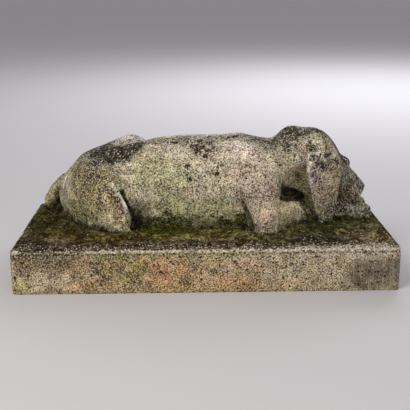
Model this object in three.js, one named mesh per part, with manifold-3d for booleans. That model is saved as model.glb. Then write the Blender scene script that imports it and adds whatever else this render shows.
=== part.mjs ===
// A life-size hound asleep on a rectangular plinth, cast in one piece of stone.
// The dog lies curled a little, its back to the front: near thigh flat on the plinth, far knee
// raised behind it, head turned half away with the muzzle on the forepaws, ears hanging, tail
// curled along the back edge. Millimetres, +Z up, origin under the middle of the plinth.
//
// The figure is modelled as a sculptor builds it: muscle masses blended into each other,
// then hollows and grooves cut in. Its surface is where the blended distance is zero.
// That surface is polygonised, thinned to the faces its shape needs and joined to the plinth.

import * as THREE from 'three';
import { edgeTable, triTable } from 'three/addons/objects/MarchingCubes.js';
import { mergeVertices } from 'three/addons/utils/BufferGeometryUtils.js';
import Module from 'manifold-3d';

// Driving dimensions
const PLINTH_LENGTH = 926;
const PLINTH_DEPTH = 460;
const PLINTH_HEIGHT = 108;
const PLINTH_ARRIS = 11; // worn rounding of the plinth's top edges
const PLINTH_CORNER = 18; // rounding of its upright corners
const DOG_LENGTH = 900; // from the tail to the tips of the forepaws
const DOG_ROOT = 12; // how far the dog runs down into the plinth it is cast with

// Fineness of the finished surface
const GRID_STEP = 6.2;
const DOG_TRIANGLES = 9200;
const ARRIS_STEPS = 4;

// The dog keeps its proportions: its masses are given for this length and scaled to DOG_LENGTH.
const MODELLED_LENGTH = 900;
const SCALE = DOG_LENGTH / MODELLED_LENGTH;

const degrees = THREE.MathUtils.degToRad;

// Frames that masses are turned into: three unit axes each.
const LEVEL = new THREE.Matrix3();

function turned(yaw, pitch = 0, roll = 0) {
  const turn = new THREE.Euler(degrees(roll), degrees(-pitch), degrees(yaw), 'ZYX');
  return new THREE.Matrix3().setFromMatrix4(new THREE.Matrix4().makeRotationFromEuler(turn));
}

// Signed distance to an ellipsoid, close to true near its surface.
function ellipsoid([cx, cy, cz], [rx, ry, rz], frame = LEVEL) {
  const [ax, ay, az, bx, by, bz, dx, dy, dz] = frame.elements;
  return (x, y, z) => {
    const px = x - cx;
    const py = y - cy;
    const pz = z - cz;
    const u = (px * ax + py * ay + pz * az) / rx;
    const v = (px * bx + py * by + pz * bz) / ry;
    const w = (px * dx + py * dy + pz * dz) / rz;
    const reach = Math.hypot(u, v, w);
    const slope = Math.hypot(u / rx, v / ry, w / rz);
    return slope < 1e-9 ? -Math.min(rx, ry, rz) : (reach * (reach - 1)) / slope;
  };
}

// Signed distance to a limb: a chain of round bars whose radius changes evenly from joint to joint.
// Each joint is [x, y, z, radius].
function limb(...joints) {
  const bars = joints.slice(1).map((end, i) => {
    const start = joints[i];
    const along = end.map((value, k) => value - start[k]);
    return { start, along, square: along[0] ** 2 + along[1] ** 2 + along[2] ** 2 };
  });
  return (x, y, z) => {
    let nearest = Infinity;
    for (const { start, along, square } of bars) {
      const px = x - start[0];
      const py = y - start[1];
      const pz = z - start[2];
      const share = (px * along[0] + py * along[1] + pz * along[2]) / square;
      const t = Math.min(1, Math.max(0, share));
      const gap = Math.hypot(px - t * along[0], py - t * along[1], pz - t * along[2]);
      nearest = Math.min(nearest, gap - start[3] - t * along[3]);
    }
    return nearest;
  };
}

// Signed distance to a hanging ear: a leaf that tapers from its root to a rounded tip.
// It lies in the frame's first and third axes and bows outwards along the second.
function leaf({ root, tip, frame, thickness, bow }) {
  const [ax, ay, az, bx, by, bz, dx, dy, dz] = frame.elements;
  const across = tip.across;
  const drop = tip.drop;
  const square = across ** 2 + drop ** 2;
  const half = thickness / 2;
  return (x, y, z) => {
    const px = x - root.at[0];
    const py = y - root.at[1];
    const pz = z - root.at[2];
    const a = px * ax + py * ay + pz * az;
    const c = px * dx + py * dy + pz * dz;
    const t = Math.min(1, Math.max(0, (a * across - c * drop) / square));
    const outline = Math.hypot(a - t * across, c + t * drop) - root.width / 2 - (t * (tip.width - root.width)) / 2;
    const arch = bow * (1 - (a / root.width) ** 2 * 3) + tip.out * t;
    const b = Math.abs(px * bx + py * by + pz * bz - arch);
    const edge = Math.max(outline + half, 0);
    const face = Math.max(b, 0);
    return Math.max(outline, Math.hypot(edge, face) - half);
  };
}

const blendMin = (a, b, width) => {
  const overlap = Math.max(width - Math.abs(a - b), 0) / width;
  return Math.min(a, b) - (overlap * overlap * width) / 4;
};
const blendMax = (a, b, width) => -blendMin(-a, -b, width);

// Figure masses, in the order they are laid on. Each says how softly it runs into what is there.
const figure = [];
const add = (blend, distance) => figure.push({ blend, distance, cut: false });
const cut = (blend, distance) => figure.push({ blend, distance, cut: true });

function trunk() {
  add(1, ellipsoid([62, 22, 98], [172, 104, 130]));
  add(50, ellipsoid([-78, 34, 92], [160, 96, 131]));
  add(50, ellipsoid([-214, 78, 84], [138, 90, 112], turned(-22)));
  add(40, ellipsoid([-316, 120, 50], [80, 64, 84], turned(-34)));
  add(16, ellipsoid([86, 26, 172], [50, 48, 57]));
}

function shoulders() {
  add(40, ellipsoid([120, -26, 112], [70, 54, 86], turned(0, -18)));
  add(30, limb([150, 84, 100, 54], [176, 124, 38, 36]));
  // breast between the arms
  add(30, ellipsoid([166, 48, 82], [70, 70, 84]));
}

function neck() {
  add(40, limb([118, 30, 126, 72], [236, 38, 162, 60]));
  add(22, ellipsoid([230, 46, 190], [46, 44, 54]));
  add(24, limb([230, 34, 116, 54], [296, 46, 104, 38]));
}

// The head has its own frame: first axis to the nose, second to the far ear, third to the crown.
const HEAD = turned(28, -46);
const SKULL = [287, 32, 176];

function onHead(forward, far, up) {
  return new THREE.Vector3(forward, far, up).applyMatrix3(HEAD).toArray().map((value, k) => value + SKULL[k]);
}

function head() {
  add(20, ellipsoid(onHead(-4, 0, 0), [70, 56, 56], HEAD));
  add(16, ellipsoid(onHead(40, 0, 12), [46, 38, 39], HEAD));
  for (const side of [-1, 1]) {
    add(14, ellipsoid(onHead(76, side * 24, 34), [18, 16, 18], HEAD));
    add(16, ellipsoid(onHead(46, side * 34, -6), [46, 24, 34], HEAD));
    // thick root where the ear leaves the skull
    add(18, ellipsoid(onHead(-16, side * 46, -6), [46, 28, 36], HEAD));
  }
  // muzzle, lips, chin and nose
  add(16, limb([...onHead(84, 0, 13), 35], [...onHead(172, 0, 24), 26]));
  for (const side of [-1, 1]) {
    add(12, ellipsoid(onHead(136, side * 14, 0), [46, 17, 27], HEAD));
  }
  add(10, ellipsoid(onHead(146, 0, -18), [36, 19, 14], HEAD));
  add(8, ellipsoid([398, 77, 48], [27, 21, 19], turned(28)));
  add(6, ellipsoid(onHead(184, 0, 34), [13, 17, 13], HEAD));
}

// Both ears hang straight down from their roots.
function ears() {
  for (const side of [-1, 1]) {
    const root = { at: onHead(-24, side * 60 + 10 * (1 + side), 4), width: 98 };
    root.at[2] = 142;
    const tip = { across: 17, drop: 110, width: 56, out: side * -24 };
    add(side < 0 ? 14 : 6, leaf({ root, tip, frame: turned(28 + side * 16), thickness: 18, bow: side * 6 }));
  }
}

function hindquarters() {
  // near thigh, flat on the plinth, from the buttock to the knee
  add(22, ellipsoid([-274, 24, 62], [128, 60, 100], turned(-50, -8)));
  add(12, ellipsoid([-212, -44, 40], [54, 44, 60], turned(-24)));
  // far thigh, knee raised behind the back, shank and foot on the far side
  add(7, limb([-288, 104, 113, 61], [-190, 112, 158, 55]));
  cut(8, limb([-262, 78, 186, 4], [-226, 72, 203, 9], [-190, 62, 208, 10], [-150, 56, 214, 6]));
  add(16, limb([-190, 128, 140, 42], [-250, 176, 46, 27]));
  add(12, limb([-250, 184, 24, 24], [-160, 188, 16, 19]));
}

function tail() {
  add(12, limb([-340, 150, 88, 26], [-378, 178, 75, 21], [-410, 188, 46, 18], [-423, 196, 17, 18]));
  add(10, limb([-423, 196, 16, 18], [-372, 208, 14, 15], [-310, 208, 12, 12], [-268, 200, 9, 9]));
  add(16, ellipsoid([-376, 186, 20], [36, 24, 44]));
}

// Elbows on the plinth, forearms laid forward and the forepaws side by side under the chin.
function forelegs() {
  add(24, limb([132, -40, 96, 46], [146, -72, 33, 38]));
  add(16, limb([148, -67, 31, 38], [172, -43, 30, 37], [199, -17, 28, 35], [225, 9, 26, 32], [249, 41, 24, 29]));
  add(8, limb([240, 24, 24, 24], [300, 45, 23, 26], [370, 48, 22, 26]));
  add(12, limb([176, 124, 36, 35], [270, 128, 34, 32], [376, 124, 22, 25]));
  // stone left between the forelegs, under the throat
  add(16, limb([196, 42, 24, 50], [372, 98, 8, 30]));
  add(20, ellipsoid([292, 72, 42], [60, 40, 42]));
  add(18, limb([262, 50, 112, 34], [284, 54, 44, 32], [296, 54, 6, 36]));
}

// Each paw has four toes side by side, and the two middle ones reach furthest.
function toes(paws) {
  const TOE = [30, 12.5, 19];
  for (const paw of paws) {
    const heading = turned(paw.turn);
    const [fx, fy, , sx, sy] = heading.elements;
    for (const [side, reach] of [[-1.5, -10], [-0.5, 4], [0.5, 4], [1.5, -10]]) {
      const aside = side * TOE[1] * 1.45;
      const x = paw.at[0] + fx * reach + sx * aside;
      const y = paw.at[1] + fy * reach + sy * aside;
      add(10, ellipsoid([x, y, 16], TOE, heading));
    }
  }
}

// What the chisel takes away: the shadows that part the limbs from the body.
function pocket() {
  // between shoulder, throat and forearm, behind the near ear
  cut(22, ellipsoid([252, -34, 106], [50, 44, 44], turned(20)));
  cut(5, limb([218, -46, 90, 26], [238, -26, 88, 24]));
  cut(4, limb([209, -44, 80, 12], [213, -16, 81, 14], [234, 0, 80, 13], [250, 10, 72, 10], [257, 11, 52, 9], [270, 4, 28, 9], [288, 5, 8, 10], [304, 5, 0, 10]));
}

function hollows() {
  // in front of the near thigh: hard against the thigh, soft towards the belly
  cut(2, limb([-242, -48, 137, 2], [-226, -57, 127, 6], [-209, -68, 111, 10], [-191, -76, 91, 15], [-174, -78, 72, 22], [-160, -72, 50, 29], [-154, -66, 26, 32], [-158, -60, 2, 36]));
  cut(20, ellipsoid([-134, -106, 40], [44, 46, 84]));
  // under the point of the thigh
  cut(5, ellipsoid([-180, -91, 0], [16, 12, 22]));
  // behind the near elbow
  cut(2, limb([92, -90, 86, 2], [97, -84, 69, 6], [107, -82, 39, 9], [118, -80, 12, 12], [125, -78, 0, 14]));
  cut(14, ellipsoid([98, -112, 14], [22, 32, 38]));
  // under the belly along the plinth
  cut(8, limb([-100, -108, -4, 16], [80, -112, -4, 18]));
  // between the tail and the near haunch
  cut(4, limb([-374, 132, 108, 2], [-396, 152, 72, 5], [-402, 158, 36, 8], [-404, 166, 4, 11]));
}

// Eyes nearly closed, nostrils and the line of the mouth.
function features() {
  for (const side of [-1, 1]) {
    add(4, ellipsoid(onHead(76, side * 34, 18), [14, 9, 9], HEAD));
    cut(3, limb([...onHead(66, side * 44, 12), 1.6], [...onHead(82, side * 40, 10), 2.4], [...onHead(94, side * 30, 8), 1.6]));
    cut(3, limb([...onHead(194, side * 8, 36), 4], [...onHead(186, side * 17, 36), 2.5]));
    cut(4, limb([...onHead(180, 0, 4), 3], [...onHead(160, side * 25, -12), 3.5], [...onHead(106, side * 33, -20), 3]));
  }
  cut(3, limb([...onHead(200, 0, 30), 2], [...onHead(192, 0, 6), 2]));
}

trunk();
shoulders();
neck();
pocket();
head();
hindquarters();
tail();
forelegs();
toes([{ at: [413, 60], turn: 8 }, { at: [414, 136], turn: -6 }, { at: [-140, 188], turn: 4 }]);
ears();
hollows();
features();

function blended(x, y, z) {
  let distance = Infinity;
  for (const mass of figure) {
    const own = mass.distance(x, y, z);
    distance = mass.cut ? blendMax(distance, -own, mass.blend) : blendMin(distance, own, mass.blend);
  }
  return distance;
}

// Distance to the whole dog at a point of its own frame. Its foot stands straight down from a
// little above the plinth, so no slit stays open under it, and it ends level inside the plinth.
function dogDistance(x, y, z) {
  const FOOT = 12;
  const distance = z < FOOT ? Math.min(blended(x, y, z), blended(x, y, FOOT)) : blended(x, y, z);
  return Math.max(distance, -z - DOG_ROOT / SCALE);
}

// Polygonises the surface where distance is zero, on a grid of cubes over a box.
function polygonise(distance, low, high, step) {
  const counts = low.map((value, k) => Math.ceil((high[k] - value) / step) + 1);
  const [nx, ny] = counts;
  const values = new Float64Array(counts[0] * counts[1] * counts[2]);
  const place = (k, i) => low[k] + i * step;
  for (let k = 0, at = 0; k < counts[2]; k++) {
    for (let j = 0; j < ny; j++) {
      for (let i = 0; i < nx; i++, at++) values[at] = distance(place(0, i), place(1, j), place(2, k)) || 1e-6;
    }
  }
  const CORNERS = [0, 1, 1 + nx, nx, nx * ny, 1 + nx * ny, 1 + nx + nx * ny, nx + nx * ny];
  const EDGES = [[0, 1], [1, 2], [3, 2], [0, 3], [4, 5], [5, 6], [7, 6], [4, 7], [0, 4], [1, 5], [2, 6], [3, 7]];
  const positions = [];
  const vertexOf = new Map();
  const pointAt = (at) => [at % nx, Math.floor(at / nx) % ny, Math.floor(at / (nx * ny))].map((i, k) => place(k, i));
  const vertexOn = (a, b) => {
    const key = a * values.length + b;
    if (!vertexOf.has(key)) {
      const NEAR_CORNER = 0.06; // keeps slivers out
      const share = THREE.MathUtils.clamp(values[a] / (values[a] - values[b]), NEAR_CORNER, 1 - NEAR_CORNER);
      const start = pointAt(a);
      const end = pointAt(b);
      vertexOf.set(key, positions.length / 3);
      positions.push(...start.map((value, k) => value + share * (end[k] - value)));
    }
    return vertexOf.get(key);
  };
  const faces = [];
  for (let k = 0; k < counts[2] - 1; k++) {
    for (let j = 0; j < ny - 1; j++) {
      for (let i = 0; i < nx - 1; i++) {
        const base = (k * ny + j) * nx + i;
        let outside = 0;
        CORNERS.forEach((offset, corner) => {
          if (values[base + offset] > 0) outside |= 1 << corner;
        });
        if (!edgeTable[outside]) continue;
        for (let t = outside * 16; triTable[t] !== -1; t += 3) {
          const face = [0, 1, 2].map((n) => {
            const [a, b] = EDGES[triTable[t + n]];
            return vertexOn(base + CORNERS[a], base + CORNERS[b]);
          });
          faces.push(face);
        }
      }
    }
  }
  return { positions, faces };
}

// The outer skin alone: stone is solid inside, so any void closed off within it is filled.
function outerSkin({ positions, faces }) {
  const parent = Array.from({ length: positions.length / 3 }, (_, v) => v);
  const rootOf = (v) => {
    while (parent[v] !== v) v = parent[v] = parent[parent[v]];
    return v;
  };
  for (const [a, b, c] of faces) {
    parent[rootOf(a)] = rootOf(b);
    parent[rootOf(b)] = rootOf(c);
  }
  const sizes = new Map();
  for (const [a] of faces) sizes.set(rootOf(a), (sizes.get(rootOf(a)) ?? 0) + 1);
  const [largest] = [...sizes].reduce((best, next) => (next[1] > best[1] ? next : best));
  return { positions, faces: faces.filter(([a]) => rootOf(a) === largest) };
}

// Thins a closed mesh by collapsing the edges that change its shape least.
function thin({ positions, faces }, target) {
  const count = positions.length / 3;
  const point = (v) => positions.slice(3 * v, 3 * v + 3);
  const quadrics = Array.from({ length: count }, () => new Float64Array(10));
  const around = Array.from({ length: count }, () => new Set());
  const version = new Uint32Array(count);

  const normalOf = (a, b, c) => {
    const u = [b[0] - a[0], b[1] - a[1], b[2] - a[2]];
    const v = [c[0] - a[0], c[1] - a[1], c[2] - a[2]];
    return [u[1] * v[2] - u[2] * v[1], u[2] * v[0] - u[0] * v[2], u[0] * v[1] - u[1] * v[0]];
  };
  faces.forEach((face, f) => {
    const [a, b, c] = face.map(point);
    const n = normalOf(a, b, c);
    const size = Math.hypot(...n) || 1e-12;
    const [nx, ny, nz] = n.map((value) => value / size);
    const d = -(nx * a[0] + ny * a[1] + nz * a[2]);
    const terms = [nx * nx, nx * ny, nx * nz, nx * d, ny * ny, ny * nz, ny * d, nz * nz, nz * d, d * d];
    for (const v of face) {
      around[v].add(f);
      terms.forEach((term, k) => (quadrics[v][k] += term * size));
    }
  });

  const errorAt = (q, [x, y, z]) =>
    q[0] * x * x + 2 * q[1] * x * y + 2 * q[2] * x * z + 2 * q[3] * x + q[4] * y * y +
    2 * q[5] * y * z + 2 * q[6] * y + q[7] * z * z + 2 * q[8] * z + q[9];

  const bestPlace = (q, a, b) => {
    const matrix = new THREE.Matrix3(q[0], q[1], q[2], q[1], q[4], q[5], q[2], q[5], q[7]);
    const middle = a.map((value, k) => (value + b[k]) / 2);
    const reach = Math.hypot(a[0] - b[0], a[1] - b[1], a[2] - b[2]);
    const places = [middle, a, b];
    if (Math.abs(matrix.determinant()) > 1e-3 * (q[0] + q[4] + q[7]) ** 3 * 1e-3) {
      const solved = new THREE.Vector3(-q[3], -q[6], -q[8]).applyMatrix3(matrix.invert()).toArray();
      const away = Math.hypot(...solved.map((value, k) => value - middle[k]));
      if (away < reach) places.unshift(solved);
    }
    let best = places[0];
    for (const place of places.slice(1)) if (errorAt(q, place) < errorAt(q, best) - 1e-9) best = place;
    return best;
  };

  // a binary heap of candidate edges, cheapest first
  const heap = [];
  const swap = (i, j) => ([heap[i], heap[j]] = [heap[j], heap[i]]);
  const push = (item) => {
    let i = heap.push(item) - 1;
    while (i > 0 && heap[(i - 1) >> 1].cost > heap[i].cost) {
      swap(i, (i - 1) >> 1);
      i = (i - 1) >> 1;
    }
  };
  const pop = () => {
    const top = heap[0];
    const last = heap.pop();
    if (heap.length) {
      heap[0] = last;
      for (let i = 0; ; ) {
        let least = i;
        for (const child of [2 * i + 1, 2 * i + 2]) {
          if (child < heap.length && heap[child].cost < heap[least].cost) least = child;
        }
        if (least === i) break;
        swap(i, least);
        i = least;
      }
    }
    return top;
  };
  const offer = (a, b) => {
    const q = quadrics[a].map((value, k) => value + quadrics[b][k]);
    const start = point(a);
    const end = point(b);
    const place = bestPlace(q, start, end);
    const LENGTH_WEIGHT = 1e-3; // among equal errors, short edges go first
    const length = (start[0] - end[0]) ** 2 + (start[1] - end[1]) ** 2 + (start[2] - end[2]) ** 2;
    push({ a, b, place, cost: errorAt(q, place) + LENGTH_WEIGHT * length, stamp: version[a] + version[b] * 65536 });
  };
  faces.forEach((face) => face.forEach((v, k) => v < face[(k + 1) % 3] && offer(v, face[(k + 1) % 3])));

  const neighbours = (v) => new Set([...around[v]].flatMap((f) => faces[f]).filter((w) => w !== v));
  const turnsOver = (v, other, place) =>
    [...around[v]].some((f) => {
      if (faces[f].includes(other)) return false;
      const before = faces[f].map(point);
      const after = faces[f].map((w, k) => (w === v ? place : before[k]));
      const m = normalOf(...before);
      const n = normalOf(...after);
      const dot = m[0] * n[0] + m[1] * n[1] + m[2] * n[2];
      const STEEPEST_TURN = 0.35; // cosine
      return dot < STEEPEST_TURN * Math.hypot(...m) * Math.hypot(...n) || Math.hypot(...n) < 1e-3;
    });

  let left = faces.length;
  while (left > target && heap.length) {
    const { a, b, place, stamp } = pop();
    if (!around[a] || !around[b] || stamp !== version[a] + version[b] * 65536) continue;
    const near = neighbours(a);
    const shared = [...neighbours(b)].filter((v) => near.has(v));
    if (shared.length !== 2 || turnsOver(a, b, place) || turnsOver(b, a, place)) continue;
    place.forEach((value, k) => (positions[3 * a + k] = value));
    quadrics[b].forEach((value, k) => (quadrics[a][k] += value));
    for (const f of around[b]) {
      if (faces[f].includes(a)) {
        for (const v of faces[f]) if (v !== b) around[v].delete(f);
        faces[f] = null;
        left--;
      } else {
        faces[f] = faces[f].map((v) => (v === b ? a : v));
        around[a].add(f);
      }
    }
    around[b] = null;
    const ring = neighbours(a);
    version[a]++;
    for (const v of ring) offer(Math.min(a, v), Math.max(a, v));
  }
  return { positions, faces: faces.filter(Boolean) };
}

const wasm = await Module();
wasm.setup();

// A closed three.js geometry as a solid that can be joined and cut.
function solidOf(geometry) {
  const bare = geometry.clone();
  for (const name of ['normal', 'uv']) bare.deleteAttribute(name);
  const merged = mergeVertices(bare, 1e-4);
  const vertProperties = Float32Array.from(merged.attributes.position.array);
  const triVerts = Uint32Array.from(merged.index.array);
  return new wasm.Manifold(new wasm.Mesh({ numProp: 3, vertProperties, triVerts }));
}

function geometryOf(solid) {
  const { vertProperties, triVerts } = solid.getMesh();
  const geometry = new THREE.BufferGeometry();
  geometry.setAttribute('position', new THREE.BufferAttribute(vertProperties, 3));
  geometry.setIndex(new THREE.BufferAttribute(triVerts, 1));
  geometry.computeVertexNormals();
  return geometry;
}

// Plinth: a block with rounded upright corners and a worn, rounded arris round its top.
function plinthSolid() {
  const halfLength = PLINTH_LENGTH / 2;
  const halfDepth = PLINTH_DEPTH / 2;
  const outline = new THREE.Shape();
  outline.moveTo(halfLength - PLINTH_CORNER, -halfDepth);
  outline.absarc(halfLength - PLINTH_CORNER, -halfDepth + PLINTH_CORNER, PLINTH_CORNER, -Math.PI / 2, 0);
  outline.absarc(halfLength - PLINTH_CORNER, halfDepth - PLINTH_CORNER, PLINTH_CORNER, 0, Math.PI / 2);
  outline.absarc(-halfLength + PLINTH_CORNER, halfDepth - PLINTH_CORNER, PLINTH_CORNER, Math.PI / 2, Math.PI);
  outline.absarc(-halfLength + PLINTH_CORNER, -halfDepth + PLINTH_CORNER, PLINTH_CORNER, Math.PI, 1.5 * Math.PI);
  const block = new THREE.ExtrudeGeometry(outline, {
    depth: PLINTH_HEIGHT,
    bevelThickness: PLINTH_ARRIS,
    bevelSize: PLINTH_ARRIS,
    bevelOffset: -PLINTH_ARRIS,
    bevelSegments: ARRIS_STEPS,
    curveSegments: ARRIS_STEPS,
  });
  block.translate(0, 0, -PLINTH_ARRIS);
  const below = new THREE.BoxGeometry(2 * PLINTH_LENGTH, 2 * PLINTH_DEPTH, 4 * PLINTH_ARRIS);
  below.translate(0, 0, -2 * PLINTH_ARRIS);
  return solidOf(block).subtract(solidOf(below));
}

function dogSolid() {
  const low = [-470, -130, -DOG_ROOT / SCALE - GRID_STEP];
  const high = [470, 240, 262];
  const skin = outerSkin(polygonise(dogDistance, low, high, GRID_STEP));
  const { positions, faces } = thin(skin, DOG_TRIANGLES);
  const geometry = new THREE.BufferGeometry();
  geometry.setAttribute('position', new THREE.Float32BufferAttribute(positions, 3));
  geometry.setIndex(faces.flat());
  geometry.scale(SCALE, SCALE, SCALE);
  geometry.translate(0, 0, PLINTH_HEIGHT);
  return solidOf(geometry);
}

const stone = new THREE.MeshStandardMaterial({ color: 0x9a9078, roughness: 0.95, metalness: 0 });

const recumbentDog = new THREE.Mesh(geometryOf(plinthSolid().add(dogSolid())), stone);
recumbentDog.name = 'dog_on_plinth';

const statue = new THREE.Group();
statue.add(recumbentDog);

export default statue;
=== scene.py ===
# %% [markdown]
# # A weathered stone hound
# The object is one casting: a hound asleep on its plinth, in coarse composition stone. The CAD
# part gives its true form in flat facets. This lesson turns that form into worn stone: a fine
# mesh, relief cut into it with numpy, masks that say where lichen, moss and stains grow and
# where shade and highlight are painted, and one material that reads them. Everything is in
# metres, in the part's own frame: +X from tail to head, +Z up, and the dog's back towards -Y,
# where the camera stands.

# %% Load the frame
import math

import bmesh
import bpy
import numpy as np
from mathutils import Matrix, Vector


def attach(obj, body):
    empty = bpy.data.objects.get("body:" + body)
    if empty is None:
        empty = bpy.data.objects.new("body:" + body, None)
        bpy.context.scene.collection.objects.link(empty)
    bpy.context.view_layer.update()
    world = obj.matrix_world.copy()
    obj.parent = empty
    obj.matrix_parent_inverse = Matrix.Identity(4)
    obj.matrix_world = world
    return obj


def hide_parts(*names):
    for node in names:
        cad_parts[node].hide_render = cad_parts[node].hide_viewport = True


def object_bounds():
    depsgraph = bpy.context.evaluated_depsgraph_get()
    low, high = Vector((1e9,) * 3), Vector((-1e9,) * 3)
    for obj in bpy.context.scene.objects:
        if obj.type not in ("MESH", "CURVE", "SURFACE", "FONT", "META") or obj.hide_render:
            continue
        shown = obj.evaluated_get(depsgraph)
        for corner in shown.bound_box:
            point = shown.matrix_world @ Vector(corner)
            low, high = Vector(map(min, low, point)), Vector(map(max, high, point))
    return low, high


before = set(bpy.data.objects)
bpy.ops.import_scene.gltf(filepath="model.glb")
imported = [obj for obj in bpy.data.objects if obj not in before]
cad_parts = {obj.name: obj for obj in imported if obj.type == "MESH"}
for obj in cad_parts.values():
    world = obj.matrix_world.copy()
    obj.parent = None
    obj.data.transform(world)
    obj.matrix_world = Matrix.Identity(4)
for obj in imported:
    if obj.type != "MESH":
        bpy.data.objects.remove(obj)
cad_low, cad_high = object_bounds()
print("CAD box", tuple(cad_low), tuple(cad_high))

# %% [markdown]
# ## Camera and light
# The photograph was taken from a little above, almost square to the plinth's long side. A
# camera can be aimed by eye, or solved from known corners. Here the plinth's corners gave the
# place and the turn, so the camera is built from those three angles and a focal length.

# %% Camera
FOCAL_LENGTH = 74.63
SENSOR_WIDTH = 36
CAMERA_PLACE = (-0.044, -2.128, 0.711)
LOOK_DOWN = math.radians(14.64)
LOOK_RIGHT = math.radians(1.24)
ROLL = math.radians(-0.27)

scene = bpy.context.scene
camera = bpy.data.objects.new("camera", bpy.data.cameras.new("camera"))
scene.collection.objects.link(camera)
camera.data.lens = FOCAL_LENGTH
camera.data.sensor_width = SENSOR_WIDTH
aim = Matrix.Rotation(-LOOK_RIGHT, 4, "Z")
tip = Matrix.Rotation(math.pi / 2 - LOOK_DOWN, 4, "X")
camera.matrix_world = Matrix.Translation(CAMERA_PLACE) @ aim @ tip @ Matrix.Rotation(ROLL, 4, "Z")
scene.camera = camera
scene.view_settings.view_transform = "Standard"
print("camera at", CAMERA_PLACE)


# %% [markdown]
# Stone shows its form by soft shade, so the light is a bright room with one broad lamp high on
# the left and a weak one on the right. Area lamps give wide soft shadows; a sun would cut them
# hard, and the photograph has none that are hard.

# %% Lamps and room
def lamp(name, place, target, size, power, colour=(1, 1, 1)):
    """A square area lamp that faces its target."""
    light = bpy.data.lights.new(name, "AREA")
    light.size = size
    light.energy = power
    light.color = colour
    made = bpy.data.objects.new(name, light)
    scene.collection.objects.link(made)
    made.location = place
    made.rotation_euler = (Vector(target) - Vector(place)).to_track_quat("-Z", "Y").to_euler()


lamp("key_lamp", (-1.5, -1.7, 2.5), (0, 0, 0.1), 1.5, 66, (1, 0.985, 0.96))
lamp("fill_lamp", (2.1, -2.7, 1.0), (0, 0, 0.1), 1.8, 26, (0.98, 0.98, 1))
lamp("backdrop_lamp", (1.4, 3.6, 2.4), (1.2, 3.4, 0), 2.6, 122, (0.88, 0.92, 1))

ROOM_COLOUR = (0.78, 0.78, 0.84, 1)
ROOM_STRENGTH = 0.58
room = bpy.data.worlds.new("room")
room.use_nodes = True
room.node_tree.nodes["Background"].inputs["Color"].default_value = ROOM_COLOUR
room.node_tree.nodes["Background"].inputs["Strength"].default_value = ROOM_STRENGTH
scene.world = room
print("lamps", len(bpy.data.lights), "room strength", ROOM_STRENGTH)

# %% [markdown]
# The floor is one plain pale sheet, so wide that its far edge stays out of the picture. It shows
# the shadow and isn't part of the object.

# %% Floor
FLOOR_SIZE = 80
FLOOR_COLOUR = (0.50, 0.475, 0.465, 1)
corner = FLOOR_SIZE / 2
floor_mesh = bpy.data.meshes.new("floor")
floor_corners = [(-corner, -corner, 0), (corner, -corner, 0), (corner, corner, 0), (-corner, corner, 0)]
floor_mesh.from_pydata(floor_corners, [], [(0, 1, 2, 3)])
floor = bpy.data.objects.new("floor", floor_mesh)
scene.collection.objects.link(floor)
floor_paint = bpy.data.materials.new("floor_paint")
floor_paint.use_nodes = True
floor_shader = floor_paint.node_tree.nodes["Principled BSDF"]
floor_shader.inputs["Base Color"].default_value = FLOOR_COLOUR
floor_shader.inputs["Roughness"].default_value = 0.9
floor_mesh.materials.append(floor_paint)
print("floor", FLOOR_SIZE, "m wide")


# %% [markdown]
# ## A fine skin over the CAD form
# The CAD node is loose triangles with edges of about a centimetre. Fine relief needs vertices
# a few millimetres apart. Subdividing would keep the facets; sculpting can't be repeated. A
# voxel remesh of a merged copy gives an even, closed skin, and it keeps the solid's form.

# %% Helpers that read and write a mesh as arrays
def numbers_of(items, name, width):
    """One property of many mesh items as an array with `width` columns."""
    flat = np.empty(len(items) * width, np.float32)
    items.foreach_get(name, flat)
    return flat.reshape(-1, width).astype(float)


def edge_ends(mesh):
    """The two vertex numbers of each edge."""
    flat = np.empty(len(mesh.edges) * 2, np.int32)
    mesh.edges.foreach_get("vertices", flat)
    return flat.reshape(-1, 2)


def put_places(mesh, places):
    """Moves the mesh's vertices to new places."""
    mesh.vertices.foreach_set("co", places.astype(np.float32).ravel())
    mesh.update()


NODE = "dog_on_plinth"
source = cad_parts[NODE]
print("node", NODE, "edges", len(edge_ends(source.data)))

# %% Merge a copy of the node and remesh it
VOXEL = 0.0038
MERGE_WITHIN = 1e-6

welded = bmesh.new()
welded.from_mesh(source.data)
bmesh.ops.remove_doubles(welded, verts=welded.verts, dist=MERGE_WITHIN)
skin_mesh = bpy.data.meshes.new("stone_hound")
welded.to_mesh(skin_mesh)
welded.free()
hound = bpy.data.objects.new("stone_hound", skin_mesh)
scene.collection.objects.link(hound)

remesh = hound.modifiers.new("even_skin", "REMESH")
remesh.mode = "VOXEL"
remesh.voxel_size = VOXEL
remesh.adaptivity = 0
depsgraph = bpy.context.evaluated_depsgraph_get()
even = bpy.data.meshes.new_from_object(hound.evaluated_get(depsgraph))
hound.modifiers.clear()
hound.data = even
bpy.data.meshes.remove(skin_mesh)
even.name = "stone_hound"
print("even skin", len(even.vertices), "vertices")

# %% [markdown]
# The underside stays flat and is never seen, so its small faces are taken off here. The open
# rim is set level with the ground and closed with one face at the end.

# %% Open the underside
RIM = 0.0016

opened = bmesh.new()
opened.from_mesh(even)
under = [
    face for face in opened.faces
    if face.calc_center_median().z < RIM / 2 and face.normal.z < -0.5
]
bmesh.ops.delete(opened, geom=under, context="FACES")
rim_flags = np.array([v.is_boundary for v in opened.verts])
opened.to_mesh(even)
opened.free()
print("rim", rim_flags.sum(), "vertices")


# %% [markdown]
# ## Smoothing that keeps the size
# Averaging each vertex with its neighbours hides the facets but shrinks the form. Taking a
# smoothing step and then a slightly longer step back outwards keeps the size and removes only
# what is small.

# %% Smooth the facets away
ends = edge_ends(even)
degree = np.bincount(ends.ravel(), minlength=len(even.vertices)).astype(float)[:, None]


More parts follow.
